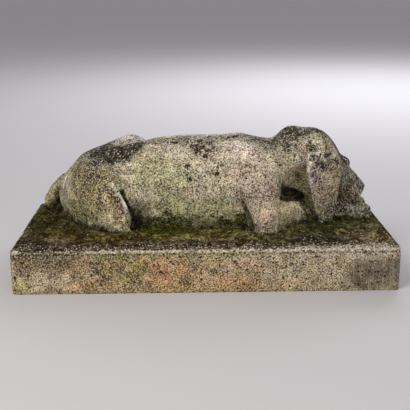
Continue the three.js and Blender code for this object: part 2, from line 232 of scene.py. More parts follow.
def averaged(values):
    """Each vertex's mean of its neighbours' values."""
    count = len(values)
    columns = []
    for column in values.T:
        forth = np.bincount(ends[:, 0], weights=column[ends[:, 1]], minlength=count)
        back = np.bincount(ends[:, 1], weights=column[ends[:, 0]], minlength=count)
        columns.append(forth + back)
    return np.stack(columns, 1) / degree


def smoothed(values, steps, share=0.6):
    """Values moved towards their neighbours' mean, several times over."""
    for _ in range(steps):
        values = values + share * (averaged(values) - values)
    return values


SMOOTH_STEPS = 10
STEP_IN = 0.62
STEP_OUT = 0.64
LAST_STEP = 0.25
free = np.where(rim_flags, 0.0, 1.0)[:, None]
places = numbers_of(even.vertices, "co", 3)
places[rim_flags, 2] = 0
for step in range(SMOOTH_STEPS):
    places = places + STEP_IN * free * (averaged(places) - places)
    places = places - STEP_OUT * free * (averaged(places) - places)
places = places + LAST_STEP * free * (averaged(places) - places)
print("smoothed box", places.min(0), places.max(0))

# %% [markdown]
# Where the dog meets the block, a casting has no sharp inner corner, and soil fills what there
# is. More smoothing in that band alone gives the small fillet. It fades out before the block's
# own edges, so they stay straight.

# %% Fillet the foot of the dog
PLINTH_TOP = 0.108
BAND_MIDDLE = 0.005
BAND_REACH = 0.013
EDGE_KEPT = 0.014
EDGE_FADE = 0.02
FILLET_STEPS = 4

to_edge = np.minimum(cad_high[0] - np.abs(places[:, 0]), cad_high[1] - np.abs(places[:, 1]))
in_band = np.exp(-(((places[:, 2] - PLINTH_TOP - BAND_MIDDLE) / BAND_REACH) ** 2))
foot_share = in_band * np.clip((to_edge - EDGE_KEPT) / EDGE_FADE, 0, 1)
places = places + foot_share[:, None] * (smoothed(places, FILLET_STEPS) - places)
put_places(even, places)
form_normals = numbers_of(even.vertex_normals, "vector", 3)
print("fillet over", int((foot_share > 0.3).sum()), "vertices")


# %% [markdown]
# ## Noise, pits and patches as whole arrays
# Relief and masks are functions of a point in space. Three of them do all the work: smooth
# noise, round pits, and a patch round a path. Each is worked out for every vertex at once.

# %% Smooth noise
def mixed(cells, seed):
    """One number in 0..1 for each whole-number cell, from a fixed mix of its coordinates."""
    x, y, z = (cells.astype(np.int64) & 0xFFFFFFFF).astype(np.uint32).T
    mix = x * np.uint32(73856093) ^ y * np.uint32(19349663) ^ z * np.uint32(83492791)
    mix = mix ^ np.uint32((seed * 2654435761) & 0xFFFFFFFF)
    mix = (mix ^ (mix >> np.uint32(13))) * np.uint32(1274126177)
    mix = (mix ^ (mix >> np.uint32(16))) * np.uint32(2246822519)
    mix = mix ^ (mix >> np.uint32(15))
    return mix / 2.0**32


TILT = np.array(Matrix.Rotation(0.7, 3, Vector((1, 2, 3)).normalized()))


def noise(points, size, seed):
    """Random numbers on a lattice `size` apart, blended by 3t^2 - 2t^3 between its corners."""
    scaled = points @ TILT / size
    cell = np.floor(scaled)
    t = scaled - cell
    t = t * t * (3 - 2 * t)
    total = np.zeros(len(points))
    for corner_at in np.ndindex(2, 2, 2):
        weight = np.prod(np.where(corner_at, t, 1 - t), axis=1)
        total += weight * mixed(cell + corner_at, seed)
    return 2 * total - 1


example = noise(places, 0.02, 1)
print("noise from", example.min().round(2), "to", example.max().round(2))


# %% [markdown]
# Stone is rough at every size, so noise is added to noise, each layer finer and weaker. A
# smooth step then turns such a value into a mask, which is 0 below one limit and 1 above
# another. Painting a mask by hand gives more control; a rule covers all sides alike.

# %% Rough noise, and masks made of it
def rough(points, size, seed, layers=3):
    """Noise on top of noise: each layer half the size and a little more than half as strong."""
    total = sum(0.55**k * noise(points, size / 2**k, seed + 17 * k) for k in range(layers))
    return total / sum(0.55**k for k in range(layers))


def steep(value, low, high):
    """0 below low, 1 above high, 3t^2 - 2t^3 between."""
    t = np.clip((value - low) / (high - low), 0, 1)
    return t * t * (3 - 2 * t)


def clouds(size, seed, low, high):
    """A mask of random clouds: rough noise of one size in metres, steep from low to high."""
    return steep(rough(places, size, seed), low, high)


worn = clouds(0.12, 15, -0.3, 0.5)
print("worn share", worn.mean().round(3))


# %% [markdown]
# Pits are scattered, not even: a lattice gives each cell its own centre, radius and chance, so
# no two pits are alike and none is drawn by hand.

# %% Pits
def pits(points, spacing, reach, share, seed):
    """Depth 0..1 of round pits: one centre in some cells of a lattice, depth (1 - (d / r)^2)^2."""
    cell = np.floor(points / spacing)
    depth = np.zeros(len(points))
    for step in np.ndindex(3, 3, 3):
        at = cell + step - 1
        jitter = np.stack([mixed(at, seed + k) for k in range(3)], 1)
        centre = (at + jitter) * spacing
        radius = reach * (0.45 + 0.55 * mixed(at, seed + 3))
        here = mixed(at, seed + 4) < share
        away = np.sum((points - centre) ** 2, axis=1) / radius**2
        depth = np.maximum(depth, np.where(here, np.clip(1 - away, 0, 1) ** 2, 0))
    return depth


small_pits = pits(places, 0.0105, 0.0052, 0.75, 21)
large_pits = pits(places, 0.034, 0.0105, 0.55, 31)
print("small pits over", (small_pits > 0).mean().round(2), "large over", (large_pits > 0).mean().round(2))

# %% [markdown]
# A place on the dog is easiest to name as a short path of points read from the photograph, in
# whole millimetres, with a reach round it. Noise shifts the patch's edge, so it never looks
# like a stamped disc. The union of many patches is one mask.

# %% Patches round a path
edge_wander = 0.30 * noise(places, 0.055, 5)
edge_wander += 0.22 * noise(places, 0.021, 6) + 0.12 * noise(places, 0.009, 7)


def away_from(path, stretch=(1, 1, 1)):
    """Distance from every vertex to a path of points in millimetres, z from the plinth's top."""
    joints = (np.array(path, float).reshape(-1, 3) + (0, 0, 1000 * PLINTH_TOP)) / 1000
    scale = 1 / np.array(stretch, float)
    joints = joints * scale
    if len(joints) == 1:
        joints = np.repeat(joints, 2, axis=0)
    nearest = np.full(len(places), np.inf)
    here = places * scale
    for start, end in zip(joints[:-1], joints[1:]):
        along = end - start
        share = np.clip((here - start) @ along / max(along @ along, 1e-12), 0, 1)
        nearest = np.minimum(nearest, np.linalg.norm(here - start - share[:, None] * along, axis=1))
    return nearest


def patch(path, reach, ragged=1.0, soft=0.55, stretch=(1, 1, 1)):
    """1 along the path, fading to 0 at `reach` millimetres, with a wandering edge."""
    far = away_from(path, stretch) / (reach / 1000) + ragged * edge_wander
    return 1 - steep(far, 1 - soft, 1 + 0.25 * soft)


def layered(*masks):
    """The union of several masks: the greatest value at each vertex."""
    total = np.zeros(len(places))
    for one in masks:
        total = np.maximum(total, one)
    return total


def union(rows):
    """The union of patches given as rows of strength, path, reach and raggedness."""
    return layered(*(strength * patch(path, reach, ragged) for strength, path, reach, ragged in rows))


print("patch edges wander by", edge_wander.std().round(2), "of their reach")

# %% [markdown]
# ## Where the stone is hollow and where it stands proud
# Moss gathers in hollows, shade is painted into them, and edges are worn pale and painted lighter
# as a highlight. Sculptors' tools call this cavity. It is the distance between the surface and a
# blurred copy of itself, measured along the normal.

# %% Hollows, edges and the ways the surface faces
NARROW_STEPS = 14
WIDE_STEPS = 110
blurred = smoothed(places, NARROW_STEPS)
wide = smoothed(blurred, WIDE_STEPS)
narrow_depth = np.sum((blurred - places) * form_normals, axis=1)
wide_depth = np.sum((wide - places) * form_normals, axis=1)
hollow = steep(wide_depth, 0.0008, 0.0075)
crease = steep(narrow_depth, 0.0003, 0.0016)
edge = steep(-narrow_depth, 0.0003, 0.0013)
facing_up = np.clip(form_normals[:, 2], 0, 1)
height = places[:, 2] - PLINTH_TOP
on_block = 1 - steep(height, -0.001, 0.006)
on_top = steep(facing_up, 0.6, 0.9) * on_block * steep(height, -0.012, -0.003)
on_side = on_block * (1 - steep(facing_up, 0.2, 0.6))
on_dog = 1 - on_block
print("hollow share", hollow.mean().round(3), "edge share", edge.mean().round(3))

# %% [markdown]
# ## Carving that the CAD form is too coarse for
# A few lines are finer than the solid's facets: the thin lip along the near thigh, the channel
# beside it, the fold behind the elbow and a crease at the haunch's left edge. Each is a path
# read from the photograph, a half width and a depth. A raised lip is a groove of less than no
# depth. A modelling tool could pull them by hand, but a formula gives the same line each run.

# %% Carved lines
def groove(path, half_width, depth):
    """A dent with a bell-shaped section: depth * exp(-(d / w)^2)."""
    return -depth / 1000 * np.exp(-((away_from(path) * 1000 / half_width) ** 2))


thigh_lip = [
    (-230, -59, 119), (-217, -69, 101), (-204, -79, 80),
    (-196, -84, 61), (-191, -87, 40), (-188, -85, 25),
]
beside_lip = [(-206, -62, 100), (-200, -68, 84), (-192, -68, 64), (-186, -62, 48)]
behind_elbow = [(92, -86, 80), (99, -82, 62), (108, -80, 39), (118, -80, 12), (124, -80, 2)]
left_of_haunch = [(-362, 70, 112), (-366, 60, 92), (-364, 56, 66), (-352, 48, 40)]
relief = groove(beside_lip, 5.0, 4.5) + groove(thigh_lip, 3.0, -2.8)
relief += groove(behind_elbow, 3.8, 3.2)
relief += groove(left_of_haunch, 3.5, 1.8)
print("carved from", relief.min().round(4), "to", relief.max().round(4), "m")

# %% [markdown]
# ## Weather
# Rain has taken the cement from between the grains. The dog is worn most; the block's sides
# keep more of the mould's flat face, and what would stand out of the block's own box is cut
# off at the end. Each term is a height in metres times noise of one size.

# %% Worn relief
swell = 0.0013 * noise(places, 0.085, 11) + 0.0010 * noise(places, 0.034, 12)
lumps = 0.00075 * rough(places, 0.016, 13)
grit = 0.00042 * noise(places, 0.0072, 14)
weather = on_dog * (swell + lumps) + grit - 0.0009 * small_pits * (0.5 + worn) - 0.0016 * large_pits * worn
weather += on_side * (0.35 * swell - 0.0006 + 0.5 * lumps)
weather += on_top * (0.6 * swell + 0.8 * lumps)
print("weather from", weather.min().round(4), "to", weather.max().round(4), "m")

# %% [markdown]
# The block's arris is chipped here and there, and the mould left a fine line under it. Both
# are cut in, because they catch shade as well as dirt.

# %% Chipped arris and mould line
MOULD_LINE = -0.0115
MOULD_LINE_WIDTH = 0.0019
side_band = np.exp(-(((height - MOULD_LINE) / MOULD_LINE_WIDTH) ** 2)) * on_side
weather -= 0.0011 * side_band * steep(noise(places, 0.06, 16), -0.6, 0.1)
weather -= 0.0028 * edge * on_block * clouds(0.03, 17, 0.05, 0.5)
relief += weather
print("relief from", relief.min().round(4), "to", relief.max().round(4), "m")

# %% [markdown]
# ## Where things grow and what has stained the stone
# Every mask is a list of places, in millimetres from the middle of the plinth's top, and a rule
# for the rest, so that the sides nobody photographed weather the same way. Moss comes first. It
# wants damp and shade, so it sits along the dog's foot, in the hollows and on the plinth's top.

# %% Moss where the photograph shows it
belly_foot = [(-180, -42, 6), (-140, -36, 4), (-60, -52, 6), (20, -62, 5), (90, -60, 6), (116, -66, 6)]
moss_places = [
    # strength, path, reach, raggedness
    (0.3, belly_foot, 16, 1.2),
    (1.0, [(-158, -34, 5), (-120, -42, 5), (-70, -52, 5)], 20, 0.8),
    (1.0, [(-164, -66, 0), (-133, -84, 0), (-92, -92, 0), (-52, -80, 0)], 36, 0.8),
    (0.7, [(-110, -128, 0), (-70, -120, 0)], 22, 1.4),
    (1.0, [(-140, -34, 12), (-112, -48, 24), (-92, -46, 14)], 24, 1.1),
    (1.0, [(26, -56, 6), (44, -60, 16), (77, -58, 11), (104, -60, 6)], 24, 1.1),
    (0.35, [(-156, -40, 30), (-164, -46, 60), (-180, -54, 84)], 26, 0.9),
    (0.95, [(98, -62, 10), (92, -70, 40)], 20, 0.8),
    (0.75, [(-88, -48, 20), (-40, -60, 22), (40, -72, 24)], 24, 1.4),
    (0.6, [(236, 0, 110), (252, -2, 96)], 30, 1.0),
    (0.5, [(276, 12, 30), (262, 6, 8), (300, 20, 4)], 40, 1.0),
    (0.4, [(368, 42, 90), (374, 46, 66), (366, 40, 34)], 18, 0.9),
    (0.85, [(-392, 150, 10), (-398, 168, 4)], 36, 1.0),
    (0.6, [(-340, 10, 0), (-300, -30, 0)], 60, 1.2),
    (0.62, [(190, -92, 0), (270, -52, 0), (340, -2, 0)], 34, 1.5),
    (0.85, [(250, 6, 62), (262, 8, 44), (276, 4, 24), (292, 4, 6)], 22, 0.9),
    (0.5, [(300, -60, 0), (372, -20, 0), (420, 10, 0)], 44, 1.6),
]
moss = union(moss_places)
fresh_places = [
    # strength, path, reach, raggedness
    (1.0, [(-158, -62, 0), (-133, -80, 0), (-92, -88, 0), (-56, -78, 0)], 34, 0.8),
    (0.95, [(-140, -36, 16), (-114, -42, 16), (-84, -50, 20), (-48, -58, 20)], 24, 0.9),
    (0.8, [(-100, -52, 34), (-92, -58, 50)], 18, 0.9),
]
fresh_moss = union(fresh_places)
moss_gap = patch([(-36, -56, 6), (8, -60, 8)], 30, 0.8)
print("places of moss", len(moss_places) + len(fresh_places))

# %% Moss by rule
far = steep(places[:, 1], 0.0, 0.09)
far_side = far * on_dog
foot_of_dog = np.exp(-((height / 0.016) ** 2)) * steep(hollow + crease, 0.2, 0.9)
moss_rule = foot_of_dog * clouds(0.06, 41, -0.2, 0.35) * (0.45 + 0.4 * on_dog)
deep_moss = 0.6 * steep(hollow, 0.45, 1.0) * (1 - facing_up * 0.4) * on_dog
far_moss = 0.95 * np.exp(-((height / 0.030) ** 2)) * far_side * clouds(0.05, 50, -0.2, 0.35)
far_bed = 0.9 * on_top * np.clip(crease * 1.5, 0, 1) * far * clouds(0.06, 39, -0.2, 0.3)
near_moss = layered(moss, moss_rule) * (1 - 0.7 * moss_gap)
moss = layered(near_moss, far_moss, far_bed, deep_moss * clouds(0.05, 42, -0.4, 0.3))
print("moss share", moss.mean().round(3))

# %% [markdown]
# Black lichen likes stone that gets both rain and sun: the rump, the back, the skull and the
# plinth's front band. It comes as crusts, which are patches, and as round spots a centimetre
# or two wide, which are placed one by one where the photograph has them.

# %% Black lichen: crusts
far_hip = [(-215, 95, 206), (-188, 90, 208), (-166, 92, 204)]
black_corner = [(250, -150, 0), (290, -155, 0), (330, -176, 0)]
front_band = [(-440, -190, 0), (-300, -186, 0), (0, -182, 0), (200, -176, 0), (300, -172, 0)]
black_places = [
    # strength, path, reach, raggedness
    (1.0, [(-276, 66, 174), (-257, 50, 183), (-229, 36, 186), (-202, 26, 193), (-168, 12, 201)], 38, 0.9),
    (0.95, [(-272, 6, 157), (-262, 22, 164), (-240, 12, 166), (-214, 4, 171), (-200, -2, 171)], 24, 1.1),
    (0.9, [(-252, 96, 190), (-268, 92, 184), (-284, 88, 176)], 24, 0.9),
    (0.8, [(368, 40, 163), (374, 40, 154), (366, 30, 158)], 16, 0.9),
    (0.7, [(404, 66, 104), (420, 74, 88), (430, 80, 74)], 20, 1.0),
    (0.6, [(300, -30, 10), (320, -24, 14), (345, -4, 26), (372, 26, 34)], 26, 1.2),
    (0.65, [(-140, 20, 214), (-60, 0, 220), (0, -6, 222), (80, -2, 226), (130, 0, 220)], 30, 1.2),
    (0.45, [(-16, -30, 204), (4, -40, 196), (16, -22, 212)], 26, 1.3),
    (0.75, [(160, -12, 206), (200, 0, 206), (222, 6, 224)], 40, 1.2),
    (0.85, [(216, 22, 240), (258, 14, 242), (300, 26, 236)], 44, 1.2),
    (0.8, [(320, 24, 216), (340, 30, 200), (360, 40, 180)], 30, 1.2),
    (0.40, [(286, -44, 190), (330, -40, 184)], 34, 1.3),
    (0.6, [(-316, -20, 46), (-290, -42, 30)], 30, 1.0),
    (0.6, [(372, 60, 120), (400, 66, 104), (414, 70, 84)], 34, 1.1),
    (0.5, [(330, -16, 36), (384, 30, 34), (410, 30, 30)], 34, 1.2),
]
black = union(black_places)
crusty_places = [
    # strength, path, reach, raggedness
    (1.0, [(250, 0, 230), (300, 20, 226), (290, -40, 190), (326, -36, 180)], 60, 1.0),
    (0.8, [(-330, 0, 110), (-300, -20, 60), (-240, -60, 60)], 80, 1.0),
    (1.0, [(340, -10, 30), (400, 50, 30), (420, 70, 80)], 60, 1.0),
    (0.6, [(160, -10, 206), (90, 0, 226), (-60, 0, 220)], 40, 1.0),
]
crusty = union(crusty_places)
black_top_places = [
    # strength, path, reach, raggedness
    (0.8, front_band, 42, 1.0),
    (0.7, [(130, -150, 0), (240, -120, 0), (320, -90, 0)], 44, 1.2),
    (0.45, [(380, -40, 0), (400, -150, 0)], 80, 1.2),
    (0.95, black_corner, 34, 1.0),
]
black_top = union(black_top_places)
black_rule = 0.6 * steep(facing_up, 0.75, 1.0) * on_dog * clouds(0.09, 43, -0.1, 0.6)
top_rule = 0.6 * on_top * clouds(0.10, 44, -0.3, 0.5) * steep(places[:, 1], 0.05, 0.15)
far_rule = 0.8 * steep(facing_up, 0.30, 0.8) * far_side * clouds(0.055, 49, 0.0, 0.45)
crust_rule = 0.55 * crusty * on_dog * clouds(0.028, 47, 0.1, 0.5)
black = layered(black, crust_rule, black_top * on_top, black_rule, far_rule, top_rule)
black *= 1 - 0.9 * patch(far_hip, 26, 0.5)
print("black share", black.mean().round(3))

# %% Black lichen: spots, each a point and a reach
spots_at = [
    # x, y, z, reach
    (272, -44, 202, 13), (272, -46, 178, 10), (287, -48, 169, 13), (307, -45, 181, 10),
    (332, -35, 170, 10), (300, -46, 157, 14), (296, -46, 148, 9), (303, -20, 222, 8),
    (211, 41, 238, 10), (-17, -36, 199, 12), (-10, -12, 217, 11), (17, -20, 215, 13),
    (2, -50, 186, 9), (-39, -70, 130, 8), (-73, -7, 213, 9), (-167, 83, 201, 6), (-195, 81, 203, 7),
    (-212, 80, 198, 6), (32, -73, 146, 8), (-42, -58, 163, 8), (79, 1, 227, 10), (43, -66, 166, 6),
    (-24, -26, 206, 10), (-2, -30, 205, 9), (8, -38, 197, 9), (-30, -22, 208, 8), (22, -34, 203, 7),
    (268, -30, 214, 7), (318, -44, 190, 8), (18, -230, -54, 10), (-48, -230, -85, 11),
    (-62, -230, -84, 8), (-260, -230, -53, 9), (-137, -230, -87, 9), (398, -230, -21, 7),
    (433, -230, -28, 8), (384, -230, -17, 6), (-430, -230, -14, 7), (-300, -230, -14, 7),
]
spots = np.zeros(len(places))
for x, y, z, reach in spots_at:
    spots = np.maximum(spots, patch([(x, y, z)], reach, 0.8, 0.5))
black = np.maximum(black, spots * on_dog)
print("spots", len(spots_at))

# %% [markdown]
# Pale lichen and bare stone look alike from a step away, so they share a mask. It follows the
# block's arris, brightest where the photograph is brightest, and the dog's edges, which are worn
# pale and also painted lighter as a highlight.

# %% Pale lichen, bare worn edges and a painted highlight on the dog's edges
arris_line = np.exp(-(((height + 0.006) / 0.0085) ** 2)) * on_block * (1 - on_top * 0.3)
front_side = steep(-places[:, 1], 0.19, 0.215)
along = places[:, 0]
bright_run = steep(along, -0.31, -0.25) * (1 - steep(along, -0.13, -0.07))
middle_run = steep(along, -0.13, -0.07) * (1 - steep(along, 0.16, 0.26))
right_run = steep(along, 0.18, 0.30)
left_run = 1 - steep(along, -0.32, -0.20)
front_pale = 0.9 * bright_run + 0.70 * middle_run + 0.72 * right_run + 0.55 * left_run
other_pale = (1 - front_side) * (0.25 + 0.6 * clouds(0.16, 45, -0.2, 0.4))

far_hip_top = [(-215, 92, 206), (-188, 88, 208), (-166, 92, 204)]
pale_places = [
    # strength, path, reach, raggedness
    (0.9, [(-372, 88, 104), (-370, 84, 92)], 6, 0.4),
    (0.5, [(274, -46, 176), (290, -46, 184), (326, -40, 184)], 20, 1.3),
    (0.4, [(280, -46, 200), (320, -30, 206)], 26, 1.3),
    (0.25, [(-420, -200, 0), (-350, -196, 0)], 34, 1.3),
    (0.4, [(-132, -94, 0), (-104, -106, 0), (-80, -104, 0), (-50, -100, 0)], 5, 1.3),
    (0.4, [(51, -74, 0), (89, -68, 0), (117, -88, 0)], 5, 1.3),
    (0.3, [(360, -190, 0), (440, -150, 0)], 30, 1.2),
    (0.8, [(230, -226, -6), (300, -226, -8), (440, -226, -12)], 25, 1.2),
    (0.55, [(300, -218, 0), (350, -212, 0), (448, -206, 0)], 18, 1.3),
    (0.5, [(384, 24, 26), (430, 30, 20)], 20, 1.4),
    (0.95, [(-452, -228, -4)], 12, 0.6),
]
pale_and_highlight = layered(
    arris_line * (front_side * front_pale + other_pale),
    union(pale_places),
    0.3 * patch(far_hip_top, 28, 0.7) * on_dog,
    # edge wear with a painted highlight: the dog's edges made paler
    0.4 * edge * on_dog,
    0.5 * crusty * on_dog * clouds(0.028, 48, 0.1, 0.5),
    0.22 * on_dog * clouds(0.11, 46, 0.0, 0.6),
)
pale_and_highlight *= 1 - 0.7 * side_band
print("pale share", pale_and_highlight.mean().round(3))

# %% [markdown]
# ## Washes of colour
# Under the growth the stone itself changes colour in broad washes: green where it stays damp,
# pinkish where it is bare, orange where iron has bled out of the sand. A wash is a mask, a
# colour in linear values and a strength, laid one over the other as a painter would. Painting
# on the mesh by hand would work too, but a list can be read, changed and run again.

# %% How a wash is laid
BARE_STONE = (0.43, 0.365, 0.24)
tint = np.tile(BARE_STONE, (len(places), 1))


def wash(mask, colour, strength):
    """The tint moved towards a colour: tint + (colour - tint) * mask * strength."""
    global tint
    share = (np.clip(mask, 0, 1) * strength)[:, None]
    tint = tint * (1 - share) + np.array(colour) * share


def lay(rows, where=1.0):
    """Washes from rows of path, reach, raggedness, colour and strength."""
    for path, reach, ragged, colour, strength in rows:
        wash(where * patch(path, reach, ragged), colour, strength)


GREEN = (0.36, 0.345, 0.165)
OLIVE = (0.165, 0.145, 0.05)
PINK = (0.45, 0.365, 0.275)
MAUVE = (0.30, 0.245, 0.20)
BROWN = (0.13, 0.09, 0.045)
ORANGE = (0.43, 0.27, 0.125)
GREY = (0.130, 0.100, 0.072)
CREAM = (0.47, 0.42, 0.31)
SAND = (0.40, 0.305, 0.19)


def mean_tint(where):
    """The mean colour under a mask, for printing."""
    return np.average(tint, axis=0, weights=where).round(3)


print("bare stone", mean_tint(on_dog))

# %% Washes on the dog by rule
wash(clouds(0.13, 51, -0.3, 0.5) * on_dog, GREEN, 0.3)
wash(clouds(0.10, 52, 0.0, 0.6) * on_dog, PINK, 0.4)
wash(clouds(0.05, 57, 0.05, 0.5) * on_dog, (0.33, 0.31, 0.13), 0.45)
wash(clouds(0.05, 58, 0.05, 0.5) * on_dog, (0.42, 0.335, 0.26), 0.4)
wash(on_dog * (1 - steep(height, 0.02, 0.11)), (0.38, 0.35, 0.18), 0.5)
wash(far_side * clouds(0.08, 59, -0.05, 0.4), (0.25, 0.225, 0.085), 0.6)
wash(far_side * clouds(0.09, 60, 0.1, 0.5), MAUVE, 0.55)
print("dog", mean_tint(on_dog), "far side", mean_tint(far_side))

# %% Washes on the haunch and the thigh
haunch_washes = [
    # path, reach, raggedness, colour, strength
    ([(-320, 10, 130), (-290, -20, 120), (-250, -50, 100)], 74, 0.9, OLIVE, 0.85),
    ([(-330, 0, 100), (-280, -40, 60)], 60, 0.9, OLIVE, 0.45),
    ([(-300, -20, 118), (-284, -34, 96)], 26, 1.2, BROWN, 0.6),
    ([(-320, -6, 70), (-290, -36, 70), (-262, -52, 90)], 60, 1.1, (0.27, 0.225, 0.075), 0.5),
    ([(-250, -36, 124), (-240, -44, 118)], 20, 1.1, (0.17, 0.125, 0.045), 0.6),
    ([(-222, -80, 60), (-212, -88, 40)], 20, 1.0, (0.52, 0.43, 0.33), 0.6),
    ([(-240, -76, 70), (-215, -88, 34)], 44, 0.9, CREAM, 0.45),
]
lay(haunch_washes)
beside_the_lip = [(-238, -64, 108), (-228, -73, 94), (-218, -80, 81), (-208, -86, 67), (-203, -89, 54)]
brown_band = patch(beside_the_lip, 11, 0.7)
wash(brown_band, (0.12, 0.062, 0.028), 0.85)
print("brown band", mean_tint(brown_band))

# %% Washes on the flank, the shoulder, the tail and the head
body_washes = [
    # path, reach, raggedness, colour, strength
    ([(-136, -46, 140), (-86, -60, 118), (-100, -58, 66)], 62, 1.0, GREEN, 0.7),
    ([(-100, -66, 50), (40, -76, 50), (80, -80, 54)], 46, 1.0, (0.30, 0.275, 0.12), 0.6),
    ([(110, -60, 176), (140, -80, 140), (124, -94, 84), (142, -103, 50)], 66, 0.8, PINK, 0.55),
    ([(-409, 166, 60), (-424, 176, 30)], 46, 0.8, OLIVE, 0.7),
    ([(224, 6, 138), (240, 0, 120)], 36, 0.9, GREEN, 0.8),
    ([(276, -48, 150), (300, -46, 128), (300, -40, 90)], 48, 0.7, MAUVE, 0.85),
    ([(266, -48, 158), (272, -50, 134)], 26, 0.8, (0.25, 0.225, 0.22), 0.75),
    ([(270, -46, 184), (292, -46, 182), (322, -40, 184)], 22, 1.2, (0.60, 0.53, 0.41), 0.75),
    ([(338, -26, 120), (336, -22, 96), (330, -18, 70)], 16, 0.9, (0.24, 0.20, 0.085), 0.7),
    ([(352, 10, 100), (360, 24, 76), (356, 22, 50)], 24, 0.8, (0.125, 0.105, 0.042), 0.85),
    ([(318, -30, 80), (328, -20, 44)], 36, 0.8, (0.235, 0.17, 0.10), 0.8),
    ([(368, 40, 110), (400, 60, 92), (412, 70, 62)], 40, 0.8, (0.19, 0.175, 0.13), 0.8),
]
lay(body_washes)
wash(patch(far_hip_top, 34, 0.7) * on_dog, (0.42, 0.355, 0.28), 0.8)
edge_washes = [
    # path, reach, raggedness, colour, strength
    ([(150, -20, 200), (200, 0, 206), (230, 10, 230), (300, 20, 230)], 46, 1.1, (0.20, 0.165, 0.11), 0.65),
    ([(340, 30, 200), (360, 40, 180)], 34, 1.0, (0.16, 0.135, 0.09), 0.6),
    (left_of_haunch, 6, 0.6, (0.05, 0.043, 0.022), 0.5),
]
lay(edge_washes)
white_chip = patch([(-365, 80, 108), (-369, 78, 92), (-374, 82, 78)], 6.5, 0.5)
wash(white_chip, (0.86, 0.83, 0.74), 0.96)
wash(patch([(384, 30, 30), (430, 34, 20)], 44, 0.9), (0.16, 0.135, 0.09), 0.7)
print("dog", mean_tint(on_dog), "white chip", mean_tint(white_chip))

# %% [markdown]
# The block's front is sandier than the dog. Iron has stained two broad places orange, water has
# greened one, and the right end is grey. The other three sides get the same stains by rule.

# %% Washes on the block's sides
orange_left = [(-128, -232, -46), (-90, -232, -66)]
orange_middle = [(-6, -232, -50), (70, -232, -74)]
green_stain = [(-215, -232, -26), (-180, -232, -56)]
brown_left = [(-440, -232, -22), (-330, -232, -24)]
grey_end = [(372, -232, -68), (440, -232, -62)]
wash(on_side, SAND, 0.9)
wash(on_side * clouds(0.14, 53, -0.1, 0.5), ORANGE, 0.25)
wash(on_side * clouds(0.12, 54, -0.1, 0.5), GREEN, 0.25)
other_side = on_side * (1 - front_side)
wash(other_side * clouds(0.13, 62, -0.05, 0.4), ORANGE, 0.5)
wash(other_side * clouds(0.11, 63, 0.0, 0.45), (0.18, 0.17, 0.06), 0.5)
wash(other_side * clouds(0.17, 64, 0.1, 0.5), GREY, 0.65)
wash(patch(orange_left, 58, 0.9, stretch=(1.3, 1, 1)), ORANGE, 0.6)
wash(patch(orange_middle, 62, 0.9, stretch=(1.3, 1, 1)), ORANGE, 0.6)
stain_washes = [
    # path, reach, raggedness, colour, strength
    ([(-120, -232, -50), (-104, -232, -60)], 24, 1.1, (0.21, 0.095, 0.042), 0.75),
    ([(40, -232, -84), (110, -232, -96)], 22, 1.1, (0.40, 0.21, 0.08), 0.5),
    (green_stain, 52, 0.9, (0.17, 0.165, 0.055), 0.7),
]
lay(stain_washes)
wash(patch(brown_left, 40, 1.1, stretch=(1.6, 1, 1)), (0.15, 0.105, 0.055), 0.75)
end_washes = [
    # path, reach, raggedness, colour, strength
    ([(-290, -232, -50), (-240, -232, -80)], 50, 1.0, (0.27, 0.19, 0.10), 0.6),
    (grey_end, 46, 0.7, GREY, 0.88),
]
lay(end_washes)
wash(np.exp(-((places[:, 2] / 0.012) ** 2)) * on_side, (0.30, 0.27, 0.10), 0.55)
wash(patch([(-436, -232, -96)], 30, 0.9), (0.30, 0.27, 0.09), 0.6)
wash(side_band * front_side, (0.085, 0.078, 0.024), 0.9)
wash(patch([(-461, -226, -16), (-461, -226, -66)], 10, 0.7), (0.52, 0.44, 0.31), 0.6)
top_strip = np.exp(-(((height + 0.005) / 0.0065) ** 2)) * on_side * front_side
wash(top_strip * left_run, (0.075, 0.052, 0.032), 0.75)
green_run = steep(along, -0.30, -0.10) * (1 - steep(along, 0.05, 0.16))
wash(np.exp(-(((height + 0.014) / 0.007) ** 2)) * green_run * front_side, (0.17, 0.18, 0.035), 0.75)
print("block's sides", mean_tint(on_side))

# %% [markdown]
# The plinth's top holds water and soil, so it is nearly black-brown, with yellow and olive
# where it is thinner.

# %% Washes on the block's top
wash(on_top, (0.026, 0.020, 0.0045), 0.97)
wash(on_top * clouds(0.07, 55, 0.0, 0.5), (0.080, 0.058, 0.018), 0.7)
wash(on_top * clouds(0.035, 56, 0.1, 0.6), (0.008, 0.0065, 0.002), 0.7)
top_washes = [
    # path, reach, raggedness, colour, strength
    ([(370, -130, 0), (420, -150, 0)], 60, 1.2, (0.13, 0.10, 0.045), 0.65),
    ([(-150, -128, 0), (-30, -118, 0), (90, -130, 0)], 52, 1.3, (0.12, 0.095, 0.030), 0.6),
    ([(80, -150, 0), (200, -140, 0), (300, -120, 0)], 60, 1.3, (0.075, 0.064, 0.034), 0.6),
    ([(-360, -60, 0), (-300, -110, 0), (-180, -120, 0)], 70, 1.3, (0.058, 0.040, 0.007), 0.7),
    ([(-420, 60, 0), (-400, -20, 0)], 60, 1.2, (0.030, 0.026, 0.004), 0.7),
    (black_corner, 34, 1.0, (0.030, 0.024, 0.022), 0.8),
]
lay(top_washes, on_top)
wash(on_top * steep(-places[:, 1], 0.160, 0.200), (0.060, 0.048, 0.040), 0.65)
wash(on_top * patch([(340, 20, 0), (400, 60, 0), (420, 20, 0)], 60, 1.0), (0.022, 0.019, 0.005), 0.7)
print("block's top", mean_tint(on_top))

# %% [markdown]
# A wash sets a colour. What is left is light and dark: some places are only a little lighter,
# darker, warmer or cooler than their neighbours. A tone multiplies the tint there, by one
# number or by one for each of red, green and blue. A few tones paint light: they lighten
# places that face away from the lamps, such as the forearm, the hollow behind the ear and
# the lower flank.

